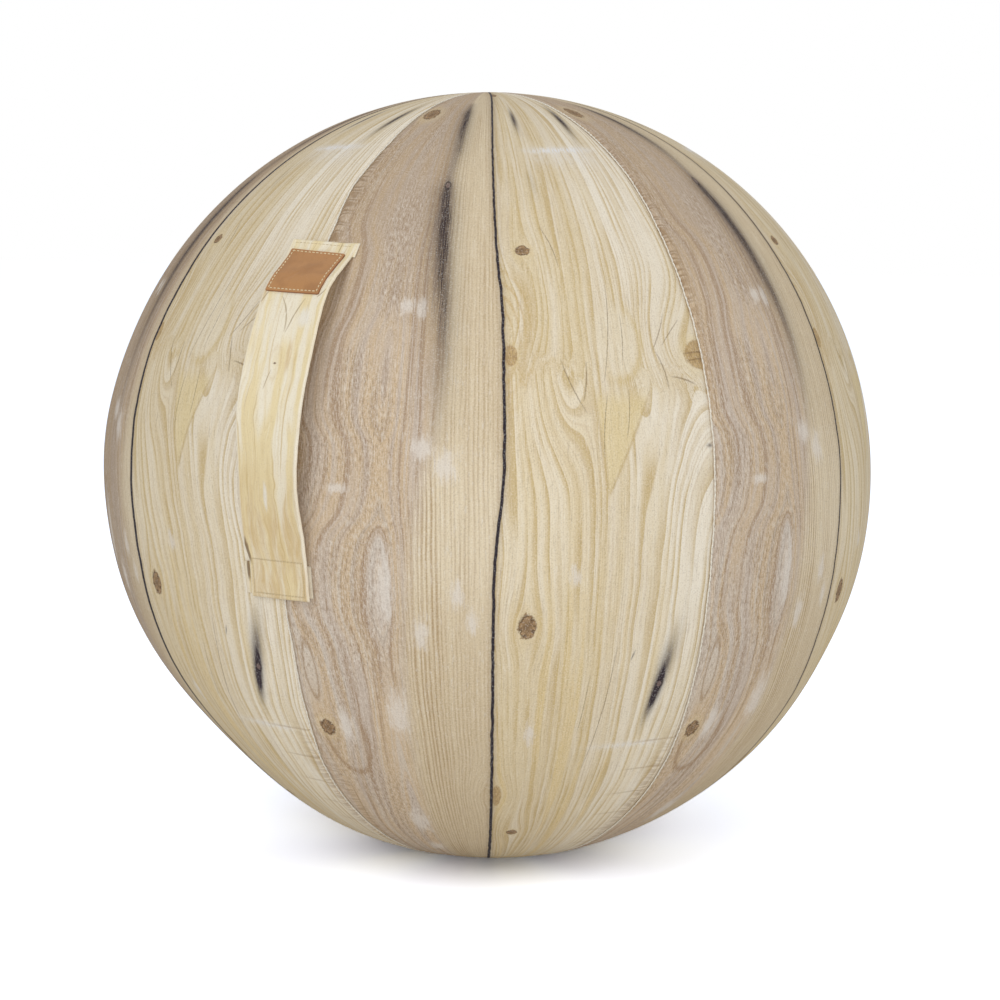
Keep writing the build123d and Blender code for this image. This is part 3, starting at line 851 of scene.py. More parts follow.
def seam_gathers(planks, colour):
    """Adds painted light and shade of the small gathers and creases of the cloth beside the seams to a
    colour.
    Gives them back for the bump too, so they are kept simple: the bump reads them three times for each
    point."""
    cloth, across, up = planks.cloth, planks.across, planks.up
    from_seam = across.size() - PANEL_TURN / 2
    beat = up * 1.05 + cloth.noise(up * 0.7, across * 0.2, 1.0) * 2.2
    gather_zone = up.step(20.0, 32.0) * up.step(67.0, 59.0) * across.step(0.0, -10.0)
    gather_zone = gather_zone + up.step(-26.0, -44.0) * 0.6
    near_seam = ((from_seam + 0.7) / 1.5).bell() * gather_zone
    gather = beat.wave() * near_seam
    # Painted light and shade of the gathers: a tan tint near the seam, darkened along each fold.
    colour = cloth.ink(colour, (214, 190, 158), near_seam * 0.35)
    colour = cloth.ink(colour, (142, 112, 80), gather * 0.62)
    # Painted shade in the creases low on the panel's right side.
    creases = ((up / 5.6 + 0.3).fraction() - 0.5).size().step(0.05, 0.0) * across.step(20.0, 26.0)
    creases = creases * up.step(-26.0, -30.0)
    return cloth.ink(colour, (168, 140, 104), creases * 0.4), gather, creases


def print_planks(settings):
    """Material of the cover: a picture of weathered planks, printed on woven cloth."""
    cloth = Cloth("cover_cloth_planks", roughness=0.85, sheen=0.03, specular=0.08)
    planks = Planks(cloth, settings)
    across, up, fibre, pile = planks.across, planks.up, planks.fibre, planks.pile
    edge = across - up.line(BROWN_EDGE, -10.0, 5.0) + (fibre - 0.5) * 3.0 - planks.last_panel * 6.0
    left = cloth.mix(brown_plank(planks), straight_strip(planks), edge.step(-1.8, 1.8))
    # Painted shade: the last panel's left part is darker, standing in for the shade at the ball's left side.
    left = cloth.ink(left, (150, 124, 94), planks.last_panel * across.step(1.0, -10.0) * 0.42)
    from_gap = across - up.line(GAP_LINE, 0.0, 3.0) - (cloth.noise(up * 0.45, 0.0, 2.0) - 0.5) * 0.3
    colour = cloth.mix(left, yellow_plank(planks), from_gap.step(-0.05, 0.05))
    colour = cloth.ink(colour, (255, 251, 244), fibre.step(0.54, 0.8) * 0.3)
    colour = cloth.ink(colour, (140, 112, 80), fibre.step(0.46, 0.2) * 0.3)
    for add_marks in (rubbed_marks_and_highlights, knot_marks, dark_stains):
        colour = add_marks(planks, colour)
    colour = gap_line(planks, colour, from_gap)
    colour = cloth.ink(colour, (255, 252, 246), pile.step(0.52, 0.72) * 0.2)
    colour = cloth.ink(colour, (120, 98, 76), pile.step(0.48, 0.28) * 0.2)
    colour, gather, creases = seam_gathers(planks, colour)
    height = pile * 0.35 - gather * 2.0 - creases * 0.5
    return cloth.finish(colour, height, depth=0.0006, strength=0.6)


# Marks of the strap's print, in millimetres across and down the strap, with one line of painted shade.
# Cracks: start,
# end, bow and half width. Dark spots: across, down, half width and half height.
STRAP_CRACKS_AND_FOLD_SHADE = (
    ((-9.5, 60.0), (0.5, 89.0), -3.0, 0.45),
    ((11.0, 61.0), (1.5, 90.0), 0.6, 0.42),
    ((-3.0, 118.0), (-7.0, 134.0), 0.2, 0.28),
    ((20.0, 60.0), (26.0, 52.0), 0.2, 0.4),
    # Not a crack: painted shade where the fold at the strap's top right end turns under.
    ((15.5, 0.0), (15.5, 11.0), 0.0, 0.35),
    ((-22.0, 56.0), (-26.0, 66.0), 0.2, 0.4),
)
STRAP_SPOTS = (
    (-25.6, 256.0, 1.7, 10.0),
    (-1.2, 113.5, 1.1, 0.9),
)
# The box of stitches near the strap's lower end: how far in from the edges it lies, and its length.
STITCH_INSET = 0.0035
STITCH_BOX_LENGTH = 0.026


def print_strap(settings, length):
    """Material of the handle: the same picture of wood, small and pale, with its grain down the strap."""
    cloth = Cloth("handle_cloth_planks", roughness=0.85, sheen=0.06, specular=0.1)
    vector = cloth.vector("strap")
    across, down, _ = cloth.parts(vector)
    sway = cloth.noise(across * 0.03, down * 0.012, 2.0) - 0.5
    flutter = cloth.noise(across * 0.09 + 5.0, down * 0.03, 2.0) - 0.5
    grain = across + sway * 12 + flutter * 5
    fibre = cloth.noise(grain * 1.1, down * 0.035, 3.0, 0.65)
    band = cloth.noise(grain * 0.1 + 4.0, down * 0.008, 2.0)
    colour = cloth.mix(srgb(243, 234, 212), srgb(238, 221, 178), band.step(0.4, 0.6))
    drift = cloth.noise(grain * 0.05, down * 0.004, 1.0) * 3.4
    ring_place = grain / 9.0 + drift
    ring = ring_place.fraction()
    strength = cloth.noise(ring_place.whole() * 2.3, down * 0.015, 2.0).step(0.42, 0.66)
    line = ring.step(0.8, 0.93) * ring.step(1.0, 0.96) * (strength * 0.9 + 0.1)
    colour = cloth.ink(colour, (202, 172, 112), line * 0.62)
    fine_line = (grain / 2.9 + drift * 3.0).wave().power(4.0) * strength
    colour = cloth.ink(colour, (214, 190, 140), fine_line * 0.25)
    tan = cloth.noise(grain * 0.16 + 2.0, down * 0.022 + 5.0, 3.0, 0.6)
    low = down.step(165.0, 240.0)
    tan_cloth = tan.step(0.3, 0.7) * 0.68 + fibre.step(0.35, 0.7) * 0.42
    colour = cloth.ink(colour, (214, 187, 138), tan_cloth * low)
    knot_bend = cloth.length(cloth.apart(vector, (-1.0, 113.0), (5.0, 14.0)))
    colour = cloth.ink(colour, (205, 172, 112), ((knot_bend - 0.9) / 0.16).bell() * 0.18)
    tan_mark = cloth.length(cloth.apart(vector, (9.0, 108.0), (2.4, 17.0))) + (fibre - 0.5) * 0.9
    colour = cloth.ink(colour, (214, 182, 122), tan_mark.step(1.2, 0.3) * 0.6)
    blank = cloth.length(cloth.apart(vector, (14.0, 77.0), (5.0, 9.0))) + (fibre - 0.5) * 1.2
    lower_blank = cloth.length(cloth.apart(vector, (-2.0, 212.0), (2.0, 12.0))) + (fibre - 0.5)
    blank = blank.math("MINIMUM", lower_blank)
    colour = cloth.ink(colour, (240, 237, 230), blank.step(1.2, 0.4) * 0.7)
    # Painted highlight along the strap's rolled edges.
    colour = cloth.ink(colour, (250, 242, 224), (across.size() - 25.2).step(0.0, 1.4) * 0.6)
    # Cracks of the print, with the painted fold shade among them.
    cracks = cloth.cracks(vector, STRAP_CRACKS_AND_FOLD_SHADE, (fibre - 0.5) * 0.6, 2.0)
    colour = cloth.ink(colour, (150, 122, 76), cracks * 0.62)
    spot = cloth.nearest(vector, STRAP_SPOTS) + (fibre - 0.5) * 0.9
    colour = cloth.ink(colour, (104, 76, 50), spot.step(1.2, 0.6) * 0.8)
    half_width = (settings.width / 2 - STITCH_INSET) / MM
    half_length = STITCH_BOX_LENGTH / 2 / MM
    middle = (length - STITCH_INSET) / MM - half_length
    sewn = (across.size() - half_width).math("MAXIMUM", (down - middle).size() - half_length)
    # Painted shade: dark dashes where the box of stitches sinks into the strap.
    stitch_shade_dashes = ((across + down) / 3.1).wave().step(0.2, 0.6, 0.45, 1.0)
    colour = cloth.ink(colour, (158, 132, 92), (sewn / 0.55).bell() * stitch_shade_dashes * 0.5)
    colour = cloth.ink(colour, (255, 250, 240), fibre.step(0.54, 0.8) * 0.3)
    colour = cloth.ink(colour, (196, 168, 118), fibre.step(0.46, 0.24) * 0.25)
    weave = cloth.grain(cloth.place(), 1200.0, 1.0)
    colour = cloth.ink(colour, (190, 168, 128), weave.step(0.46, 0.3) * 0.22)
    return cloth.finish(colour, weave * 0.5 + fibre * 0.5, depth=0.0005, strength=0.6)


def thread_material(name, colour):
    """Twisted sewing thread."""
    cloth = Cloth(name, roughness=0.7, sheen=0.2, specular=0.3)
    twist = cloth.grain(cloth.place(), 2600.0, 1.0)
    shade = tuple(value * 0.72 for value in srgb(*colour))
    lit = cloth.mix(shade, srgb(*colour), twist.step(0.35, 0.6))
    return cloth.finish(lit, twist, depth=0.0003, strength=0.6)


def leather_material(settings):
    """Smooth vegetable-tanned leather with cut edges that are darker than its face."""
    cloth = Cloth("patch_leather_tan", roughness=0.5, specular=0.4)
    vector = cloth.vector("patch")
    place = cloth.place()
    cloud = cloth.grain(place, 60.0, 3.0)
    pores = cloth.grain(place, 1500.0, 2.0)
    inset = cloth.parts(vector)[2]
    face = cloth.mix(srgb(*settings.leather), srgb(168, 120, 74), cloud.step(0.4, 0.66))
    face = cloth.ink(face, (146, 102, 64), pores.step(0.56, 0.75) * 0.4)
    face = cloth.ink(face, (168, 116, 66), ((inset - 2.2) / 0.7).bell() * 0.4)
    face = cloth.mix(srgb(150, 96, 58), face, inset.step(0.02, 0.5))
    return cloth.finish(face, pores * 0.6 + cloud * 0.4, depth=0.0004, strength=0.5)


def pvc_material():
    """Grey satin PVC with the fine ribs that such balls have."""
    cloth = Cloth("ball_pvc_grey", roughness=0.45, specular=0.5)
    place = cloth.place()
    height = cloth.parts(place)[2]
    ribs = (height / 0.006).wave().power(6.0)
    cloud = cloth.grain(place, 9.0, 3.0)
    colour = cloth.mix(srgb(150, 154, 160), srgb(136, 140, 147), cloud.step(0.35, 0.65))
    return cloth.finish(colour, ribs, depth=0.0004, strength=0.6)


def valve_material():
    """Glossy white plastic, a little yellowed."""
    cloth = Cloth("valve_plastic_white", roughness=0.25, specular=0.5)
    cloud = cloth.grain(cloth.place(), 220.0, 2.0)
    colour = cloth.mix(srgb(240, 239, 233), srgb(228, 225, 214), cloud.step(0.4, 0.65))
    return cloth.finish(colour, cloud, depth=0.0002, strength=0.3)


def tape_material():
    """Woven zip tape with a herringbone of fine ribs."""
    cloth = Cloth("zip_tape_woven", roughness=0.85, sheen=0.2, specular=0.2)
    place = cloth.place()
    x, _, z = cloth.parts(place)
    rib = ((z + x.size() * 0.8) / 0.0011).wave()
    warp = (x / 0.0016).wave()
    colour = cloth.mix(srgb(158, 138, 110), srgb(188, 168, 138), rib)
    return cloth.finish(colour, rib * 0.7 + warp * 0.3, depth=0.0004, strength=0.7)


def teeth_material():
    """Moulded zip teeth."""
    cloth = Cloth("zip_teeth_moulded", roughness=0.35, specular=0.5)
    cloud = cloth.grain(cloth.place(), 500.0, 2.0)
    colour = cloth.mix(srgb(150, 134, 108), srgb(128, 112, 90), cloud.step(0.35, 0.65))
    return cloth.finish(colour, cloud, depth=0.0002, strength=0.3)


def metal_material():
    """Painted zip metal, rubbed brighter where fingers touch it."""
    cloth = Cloth("zip_metal_painted", roughness=0.35, specular=0.5, metallic=0.55)
    cloud = cloth.grain(cloth.place(), 260.0, 3.0)
    colour = cloth.mix(srgb(136, 120, 96), srgb(108, 94, 74), cloud.step(0.35, 0.65))
    return cloth.finish(colour, cloud, depth=0.0002, strength=0.3, roughness=cloud.step(0.3, 0.7, 0.28, 0.5))


class CoverSettings(bpy.types.PropertyGroup):
    """Sizes and colours of the cover's panels."""

    cloth_thickness: FloatProperty(
        name="Cloth thickness", description="Thickness of the printed cloth", default=0.0008,
        unit="LENGTH",
    )
    seam_depth: FloatProperty(
        name="Seam depth", description="How deep a seam sinks between two panels", default=0.0014,
        unit="LENGTH",
    )
    seam_width: FloatProperty(
        name="Seam width", description="Reach of the roll beside a seam", default=0.0022, unit="LENGTH"
    )
    panel_crown: FloatProperty(
        name="Panel crown", description="How far a panel's middle stands out", default=0.0008, unit="LENGTH"
    )
    zip_slot: FloatProperty(
        name="Zip slot", description="Half width of the open slot over the zip", default=0.0055,
        unit="LENGTH",
    )
    rows: IntProperty(name="Rows", description="Rows of faces from pole to pole", default=420)
    columns: IntProperty(name="Columns", description="Columns of faces across a panel", default=46)
    pale_wood: FloatVectorProperty(
        name="Pale wood", description="Screen colour of the pale plank", default=(230, 217, 192)
    )
    yellow_wood: FloatVectorProperty(
        name="Yellow wood", description="Screen colour of its yellow bands", default=(222, 204, 166)
    )
    strip_wood: FloatVectorProperty(
        name="Strip wood", description="Screen colour of the straight strip", default=(229, 214, 185)
    )
    brown_wood: FloatVectorProperty(
        name="Brown wood", description="Screen colour of the brown plank", default=(205, 189, 173)
    )
    stain: FloatVectorProperty(
        name="Stain", description="Screen colour of the long dark stain", default=(66, 56, 56)
    )
    gap: FloatVectorProperty(
        name="Gap", description="Screen colour of the gap between the planks", default=(38, 34, 46)
    )
    thread: FloatVectorProperty(
        name="Thread", description="Screen colour of the seams' thread", default=(252, 246, 232)
    )


def panel_columns(count):
    """Shares across half a panel, from its middle to its seam, closer together at the seam."""
    even = np.linspace(0, 1, count // 2 + 1)
    half = 1 - (1 - even) ** 2.4
    return np.concatenate([-half[::-1], half[1:]])


def slot_opening(azimuth_side, latitude, zip_slot):
    """Distance in metres that a panel's edge keeps from the seam line, because of the zip. The slot closes
    over its last half degree at both ends."""
    if azimuth_side != ZIP_AZIMUTH:
        return np.zeros_like(latitude)
    low, high = ZIP_LATITUDES
    inside = np.minimum(latitude - low, high - latitude) / 0.5
    return zip_slot * np.clip(inside, 0, 1) ** 0.5


# The roll beside a seam: its height as a share of the seam's depth, its place and its reach.
ROLL_SHARE = 0.35
ROLL_PLACE = 0.005
ROLL_REACH = 0.004


def print_places(index, across, up):
    """Places on the print for points of a panel: across, up and the panel's index."""
    half_turn = PANEL_TURN / 2
    shift, rise = (
        np.interp(up, *zip(*moves[index])) if index in moves else 0 for moves in (PRINT_SHIFT, PRINT_RISE)
    )
    hold = np.clip((across + half_turn) / half_turn, 0, 1.1)
    places = np.stack([across - shift * hold, up - rise, np.full_like(across, index)], -1)
    return places.reshape(-1, 3)


def make_panel(index, settings, material):
    """One sewn panel of the cover: a thin closed sheet with a print, rolled in along its seams."""
    middle = PANEL_TURN * (index + 0.5)
    half_turn = PANEL_TURN / 2
    latitude = np.linspace(-POLE_LATITUDE, POLE_LATITUDE, settings.rows + 1)
    share = panel_columns(settings.columns)
    girth = np.cos(np.radians(latitude))
    openings = [slot_opening(middle + side * half_turn, latitude, settings.zip_slot) for side in (-1, 1)]
    degrees_open = [np.degrees(opening / (BALL_RADIUS * girth)) for opening in openings]
    edges = [seam_azimuth(index + side, latitude) - middle for side in (0, 1)]
    left_edge, right_edge = edges[0] + degrees_open[0], edges[1] - degrees_open[1]
    half = np.where(share[None, :] < 0, -left_edge[:, None], right_edge[:, None])
    across = share[None, :] * half
    up = np.repeat(latitude[:, None], len(share), 1)
    from_edge = (half - np.abs(across)) * np.radians(1) * BALL_RADIUS * girth[:, None]
    sunk = -settings.seam_depth * bell(from_edge, settings.seam_width)
    rolled = ROLL_SHARE * settings.seam_depth * bell(from_edge - ROLL_PLACE, ROLL_REACH)
    crown = settings.panel_crown * (np.cos(np.radians(across * 180 / PANEL_TURN)) - 0.5) * girth[:, None]
    height = sunk + rolled + crown
    outer = on_ball(middle + across, up, height)
    inner = on_ball(middle + across, up, height - settings.cloth_thickness)
    # The inner face is lifted off the floor by the cloth's thickness where the ball rests on it.
    inner[..., 2] += settings.cloth_thickness * bell(inner[..., 2], 0.002)
    piece = closed_sheet(f"cover_panel_{index + 1}", outer, inner)
    places = print_places(index, across, up)
    give_vectors(piece, "panel", np.concatenate([places, places]))
    piece.data.materials.append(material)
    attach(piece, "cover")
    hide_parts(f"gore_{index + 1}")
    width = 2 * math.pi * BALL_RADIUS / PANEL_COUNT
    length = math.pi * BALL_RADIUS
    area = 2 / math.pi * width * length


class BALL_OT_make_cover(bpy.types.Operator):
    """Makes the six printed panels of the cover"""

    bl_idname = "sitting_ball.make_cover"
    bl_label = "Make Cover"

    def execute(self, context):
        settings = context.scene.ball_cover
        material = print_planks(settings)
        for index in range(PANEL_COUNT):
            make_panel(index, settings, material)
        return {"FINISHED"}


# Stations down the handle: latitude, height of its outer face over the cover in millimetres, and tilt in
# degrees towards +X, as its folds pull on it.
HANDLE_STATIONS = (
    (38.7, 3.4, -6.0), (37.0, 3.8, -5.0), (35.0, 6.6, -3.0), (31.0, 15.7, -2.0), (26.0, 18.2, -2.6),
    (20.0, 19.6, -4.0), (14.0, 20.0, -2.6), (8.0, 16.7, 4.6), (3.0, 12.0, 5.6), (-2.0, 6.1, 2.4),
    (-6.0, 3.5, 2.6), (-8.0, 3.6, 2.4), (-10.1, 4.4, 2.2),
)
HANDLE_SAMPLES = 481


class HandleSettings(bpy.types.PropertyGroup):
    """Sizes and colours of the handle and its patch."""

    width: FloatProperty(name="Width", description="Width of the strap", default=0.055, unit="LENGTH")
    thickness: FloatProperty(
        name="Thickness", description="Thickness of the folded strap", default=0.0021, unit="LENGTH"
    )
    edge_roll: FloatProperty(
        name="Edge roll", description="How far the folded edges stand out", default=0.0003, unit="LENGTH"
    )
    draw_in: FloatProperty(
        name="Draw in", description="How far the sewn end is drawn in", default=0.003, unit="LENGTH"
    )
    tuck_thickness: FloatProperty(
        name="Tuck thickness", description="Thickness of the end that is folded under", default=0.0011,
        unit="LENGTH",
    )
    tuck_width: FloatProperty(
        name="Tuck width", description="Width of the lower end that is folded under", default=0.059,
        unit="LENGTH",
    )
    patch_width: FloatProperty(
        name="Patch width", description="Width of the patch", default=0.0465, unit="LENGTH"
    )
    patch_length: FloatProperty(
        name="Patch length", description="Length of the patch", default=0.0460, unit="LENGTH"
    )
    patch_thickness: FloatProperty(
        name="Patch thickness", description="Thickness of the leather", default=0.0013, unit="LENGTH"
    )
    patch_corner: FloatProperty(
        name="Patch corner", description="Radius of the patch's corners", default=0.0013, unit="LENGTH"
    )
    patch_turn: FloatProperty(
        name="Patch turn", description="Turn of the patch on the strap", default=math.radians(-1.8),
        subtype="ANGLE",
    )
    leather: FloatVectorProperty(
        name="Leather", description="Screen colour of the leather", default=(182, 132, 82)
    )
    thread: FloatVectorProperty(
        name="Thread", description="Screen colour of the strap's thread", default=(214, 194, 152)
    )
    patch_thread: FloatVectorProperty(
        name="Patch thread", description="Screen colour of the patch's thread", default=(243, 224, 184)
    )


def handle_line():
    """Samples down the handle's outer face: places, side directions, outward directions and lengths from
    the top."""
    latitudes, heights, tilts = (np.array(column, float) for column in zip(*HANDLE_STATIONS))
    latitude = np.linspace(latitudes[0], latitudes[-1], HANDLE_SAMPLES)
    height = smooth_line(latitudes, heights, latitude) * MM
    tilt = np.radians(smooth_line(latitudes, tilts, latitude))
    outward = direction(0 * latitude, latitude)
    places = outward * (BALL_RADIUS + dent_height(0 * latitude, latitude) + height)[:, None]
    places[:, 2] += CENTRE_HEIGHT
    along = unit(np.gradient(places, axis=0))
    side = unit(np.array([1.0, 0, 0]) + np.tan(tilt)[:, None] * outward)
    side = unit(side - (side * along).sum(1, keepdims=True) * along)
    return places, side, np.cross(along, side), run_lengths(places)


def on_handle(line, across, down, height):
    """Points at a place on the strap's outer face, for arrays in metres."""
    places, side, outward, lengths = line
    across, down, height = np.broadcast_arrays(*(np.asarray(v, float) for v in (across, down, height)))
    base, aside, away = (read_path(down, lengths, table) for table in (places, side, outward))
    return base + across[..., None] * aside + height[..., None] * away


def strap_wave(across, down, length):
    """Small unevenness of the sewn strap, in metres."""
    slack = np.sin(math.pi * np.clip(down / length, 0, 1))
    wave = 0.35 * np.sin(down * 95 + across * 30) * slack + 0.12 * np.sin(down * 410 + across * 160 + 1.3)
    from_end = np.minimum(down, length - down)
    beside_stitches = bell(from_end - 0.038, 0.008)
    pucker = 0.22 * np.sin(across * 900 + 3 * np.sin(down * 300)) * beside_stitches
    return (wave + pucker) * MM


def taper(settings, across, down, length):
    """Places across the strap, drawn in at its left edge over the part that is sewn down."""
    nearness = np.clip((down - (length - 0.044)) / 0.02, 0, 1)
    share = np.clip((settings.width / 2 - across) / settings.width, 0, 1)
    return across + settings.draw_in * nearness**2 * (3 - 2 * nearness) * share


STRAP_ROWS = 281
STRAP_COLUMNS = 37
# Share of the rows that are drawn towards the strap's two ends.
END_ROWS_SHARE = 0.15
# The roll along the strap's edges, its place and its reach, and the radius that rounds its two ends.
EDGE_ROLL_PLACE = 0.0016
EDGE_ROLL_REACH = 0.0014
STRAP_END_RADIUS = 0.0013
STRAP_END_SHARE = 0.12


def make_strap(settings, line, material):
    """The handle's strap: a folded double layer with rolled edges."""
    length = line[3][-1]
    half_width, half_thickness = settings.width / 2, settings.thickness / 2
    flat_across = np.sin(np.linspace(-math.pi / 2, math.pi / 2, STRAP_COLUMNS)) * half_width
    from_edge = half_width - np.abs(flat_across)
    roll = settings.edge_roll * bell(from_edge - EDGE_ROLL_PLACE, EDGE_ROLL_REACH)
    bulge = (half_thickness + roll) * rounded_edge(from_edge, 1.15 * half_thickness)
    even = np.linspace(0, 1, STRAP_ROWS)
    to_ends = 0.5 * (1 - np.cos(even * math.pi))
    down = length * (END_ROWS_SHARE * to_ends + (1 - END_ROWS_SHARE) * even)
    end_rounding = rounded_edge(np.minimum(down, length - down), STRAP_END_RADIUS)
    swell = bulge[None, :] * (STRAP_END_SHARE + (1 - STRAP_END_SHARE) * end_rounding[:, None])
    flat_across, down = np.meshgrid(flat_across, down)
    across = taper(settings, flat_across, down, length)
    middle = strap_wave(across, down, length) - half_thickness
    outer = on_handle(line, across, down, middle + swell)
    inner = on_handle(line, across, down, middle - swell)[:, ::-1]
    ring = np.concatenate([outer, inner[:, 1:-1]], 1)
    places = np.stack([flat_across / MM, down / MM, 0 * down], -1)
    back = places[:, ::-1][:, 1:-1].copy()
    back[..., 2] = 1
    rings, sides = ring.shape[:2]
    faces = tube_faces(rings, sides, turned=True)
    piece = new_mesh("handle_strap_cloth", ring.reshape(-1, 3), faces)
    give_vectors(piece, "strap", np.concatenate([places, back], 1).reshape(-1, 3))
    piece.data.materials.append(material)
    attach(piece, "cover")
    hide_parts("handle_strap")


def make_tuck(name, settings, material, latitudes, width, aside):
    """An end of the strap that is folded under and lies between the strap and the cover."""
    across = np.linspace(-width / 2, width / 2, 31)
    across, latitude = np.meshgrid(across, np.linspace(*latitudes, 25))
    azimuth = np.degrees((across + aside) / (BALL_RADIUS * np.cos(np.radians(latitude))))
    from_end = np.minimum(np.abs(latitude - latitudes[0]), np.abs(latitude - latitudes[1]))
    from_edge = np.minimum(width / 2 - np.abs(across), np.radians(from_end) * BALL_RADIUS)
    lip = 0.95 * rounded_edge(from_edge, 0.0008)
    half = settings.tuck_thickness / 2
    outer = on_ball(azimuth, latitude, half * (1.25 + lip))
    inner = on_ball(azimuth, latitude, half * (1.25 - lip))
    top = HANDLE_STATIONS[0][0]
    down = np.radians(top - latitude) * BALL_RADIUS / MM
    places = np.stack([across / MM, down, 0 * down + 0.5], -1).reshape(-1, 3)
    piece = closed_sheet(name, outer, inner, turned=latitudes[0] > latitudes[1])
    give_vectors(piece, "strap", np.concatenate([places, places]))
    piece.data.materials.append(material)
    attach(piece, "cover")
    long = BALL_RADIUS * math.radians(abs(latitudes[0] - latitudes[1]))


def rounded_outline(half_width, half_length, corner, corner_steps=7, side_steps=14):
    """Points round a rectangle with round corners, counter-clockwise from the lower right."""
    signs = ((1, -1), (1, 1), (-1, 1), (-1, -1))
    centres = [(x * (half_width - corner), y * (half_length - corner)) for x, y in signs]
    points = []
    for quarter, (x, y) in enumerate(centres):
        start = (quarter - 1) * math.pi / 2
        end = start + math.pi / 2
        for turn in np.linspace(start, end, corner_steps):
            points.append((x + corner * math.cos(turn), y + corner * math.sin(turn)))
        begin = points[-1]
        next_x, next_y = centres[(quarter + 1) % 4]
        target = (next_x + corner * math.cos(end), next_y + corner * math.sin(end))
        for share in np.linspace(0, 1, side_steps + 1)[1:-1]:
            points.append(tuple(b + share * (t - b) for b, t in zip(begin, target)))
    return np.array(points)


# The patch's middle, across the strap and down from its top.
PATCH_CENTRE = (-0.0014, 0.0342)
# The patch from its edge to its middle: millimetres in from the edge, and height as a share of the leather's
# thickness. The low place is the furrow that its stitches lie in.
PATCH_PROFILE = (
    (0, 0.0), (0, 0.62), (0.1, 0.8), (0.3, 0.93), (0.7, 1.0), (1.2, 1.0), (1.7, 0.93), (2.2, 0.86),
    (2.7, 0.93), (3.4, 1.0), (5.0, 1.02), (8.0, 1.03), (12.0, 1.04), (16.0, 1.04), (20.5, 1.04),
)
FURROW_INSET = 0.0022
FURROW_HEIGHT = 0.86
SHARPEST_CORNER = 0.0003
# A step out from a face, to find which way it looks.
FACE_STEP = 0.001


def on_patch(settings, line, points, height):
    """Places on the strap for points of the patch, whose own x runs across and y runs up."""
    cosine, sine = math.cos(settings.patch_turn), math.sin(settings.patch_turn)
    across = PATCH_CENTRE[0] + cosine * points[:, 0] - sine * points[:, 1]
    down = PATCH_CENTRE[1] - sine * points[:, 0] - cosine * points[:, 1]
    wave = strap_wave(across, down, line[3][-1])
    return on_handle(line, across, down, height + wave + settings.edge_roll * 0.5)


def make_patch(settings, line, leather, thread):
    """The leather patch on the handle's upper end, with its stitched border. Its face is bare."""
    half_width, half_length = settings.patch_width / 2, settings.patch_length / 2
    thick = settings.patch_thickness
    points, places = [], []
    for inset_mm, height in PATCH_PROFILE:
        inset = inset_mm * MM
        corner = max(settings.patch_corner - inset, SHARPEST_CORNER)
        outline = rounded_outline(half_width - inset, half_length - inset, corner)
        points.extend(on_patch(settings, line, outline, height * thick))
        places.extend((x / MM, y / MM, inset_mm) for x, y in outline)
    faces = tube_faces(len(PATCH_PROFILE), len(points) // len(PATCH_PROFILE))
    piece = new_mesh("leather_patch_face", points, faces)
    give_vectors(piece, "patch", places)
    piece.data.materials.append(leather)
    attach(piece, "cover")
    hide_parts("leather_patch")
    border = rounded_outline(half_width - FURROW_INSET, half_length - FURROW_INSET, 0.0008, 4, 20)
    border = np.concatenate([border, border[:1]])
    low = on_patch(settings, line, border, thick * FURROW_HEIGHT)
    high = on_patch(settings, line, border, thick * FURROW_HEIGHT + FACE_STEP)
    sew("patch_stitches", low, unit(high - low), pitch=0.0034, radius=0.00045, material=thread, gap=0.42)


def sew_strap(name, corners, settings, line, thread):
    """Stitches on the strap along straight lines between corners, each across and down the strap."""
    length = line[3][-1]
    route = [corners[0]]
    for start, end in zip(corners, corners[1:]):
        steps = np.linspace(0, 1, 60)[1:, None]
        route.extend(np.asarray(start) + steps * (np.asarray(end) - start))
    across, down = np.array(route).T
    across = taper(settings, across, down, length)
    wave = strap_wave(across, down, length)
    low = on_handle(line, across, down, wave)
    high = on_handle(line, across, down, wave + FACE_STEP)
    sew(name, low, unit(high - low), pitch=0.0031, radius=0.00022, material=thread)


class BALL_OT_make_handle(bpy.types.Operator):
    """Makes the carrying handle with its folded ends, patch and stitches"""

    bl_idname = "sitting_ball.make_handle"
    bl_label = "Make Handle"

    def execute(self, context):
        settings = context.scene.ball_handle
        line = handle_line()
        length = line[3][-1]
        cloth = print_strap(settings, length)
        thread = thread_material("handle_thread", settings.thread)
        make_strap(settings, line, cloth)
        make_tuck("handle_tuck_low", settings, cloth, (-9.9, -5.5), settings.tuck_width, -0.0015)
        make_tuck("handle_tuck_top", settings, cloth, (38.7, 36.4), settings.width, 0.0016)
        patch_thread = thread_material("patch_thread", settings.patch_thread)
        make_patch(settings, line, leather_material(settings), patch_thread)
        right = settings.width / 2 - STITCH_INSET
        bottom = length - STITCH_INSET
        top = bottom - STITCH_BOX_LENGTH
        box = [(-right, top), (right, top), (right, bottom), (-right, bottom), (-right, top)]
        sew_strap("handle_stitches_low", box, settings, line, thread)
        row = [(-right, STITCH_INSET), (right, STITCH_INSET)]
        sew_strap("handle_stitches_top", row, settings, line, thread)
        return {"FINISHED"}


# The thread in a seam: the pitch of its stitches, the radius of its thin places, how much thicker it is
# between them, and how high it lies over the bottom of the seam.
SEAM_PITCH = 0.0042
SEAM_THREAD_RADIUS = 0.0004
SEAM_THREAD_SWELL = 0.00028
SEAM_THREAD_HEIGHT = 0.00085


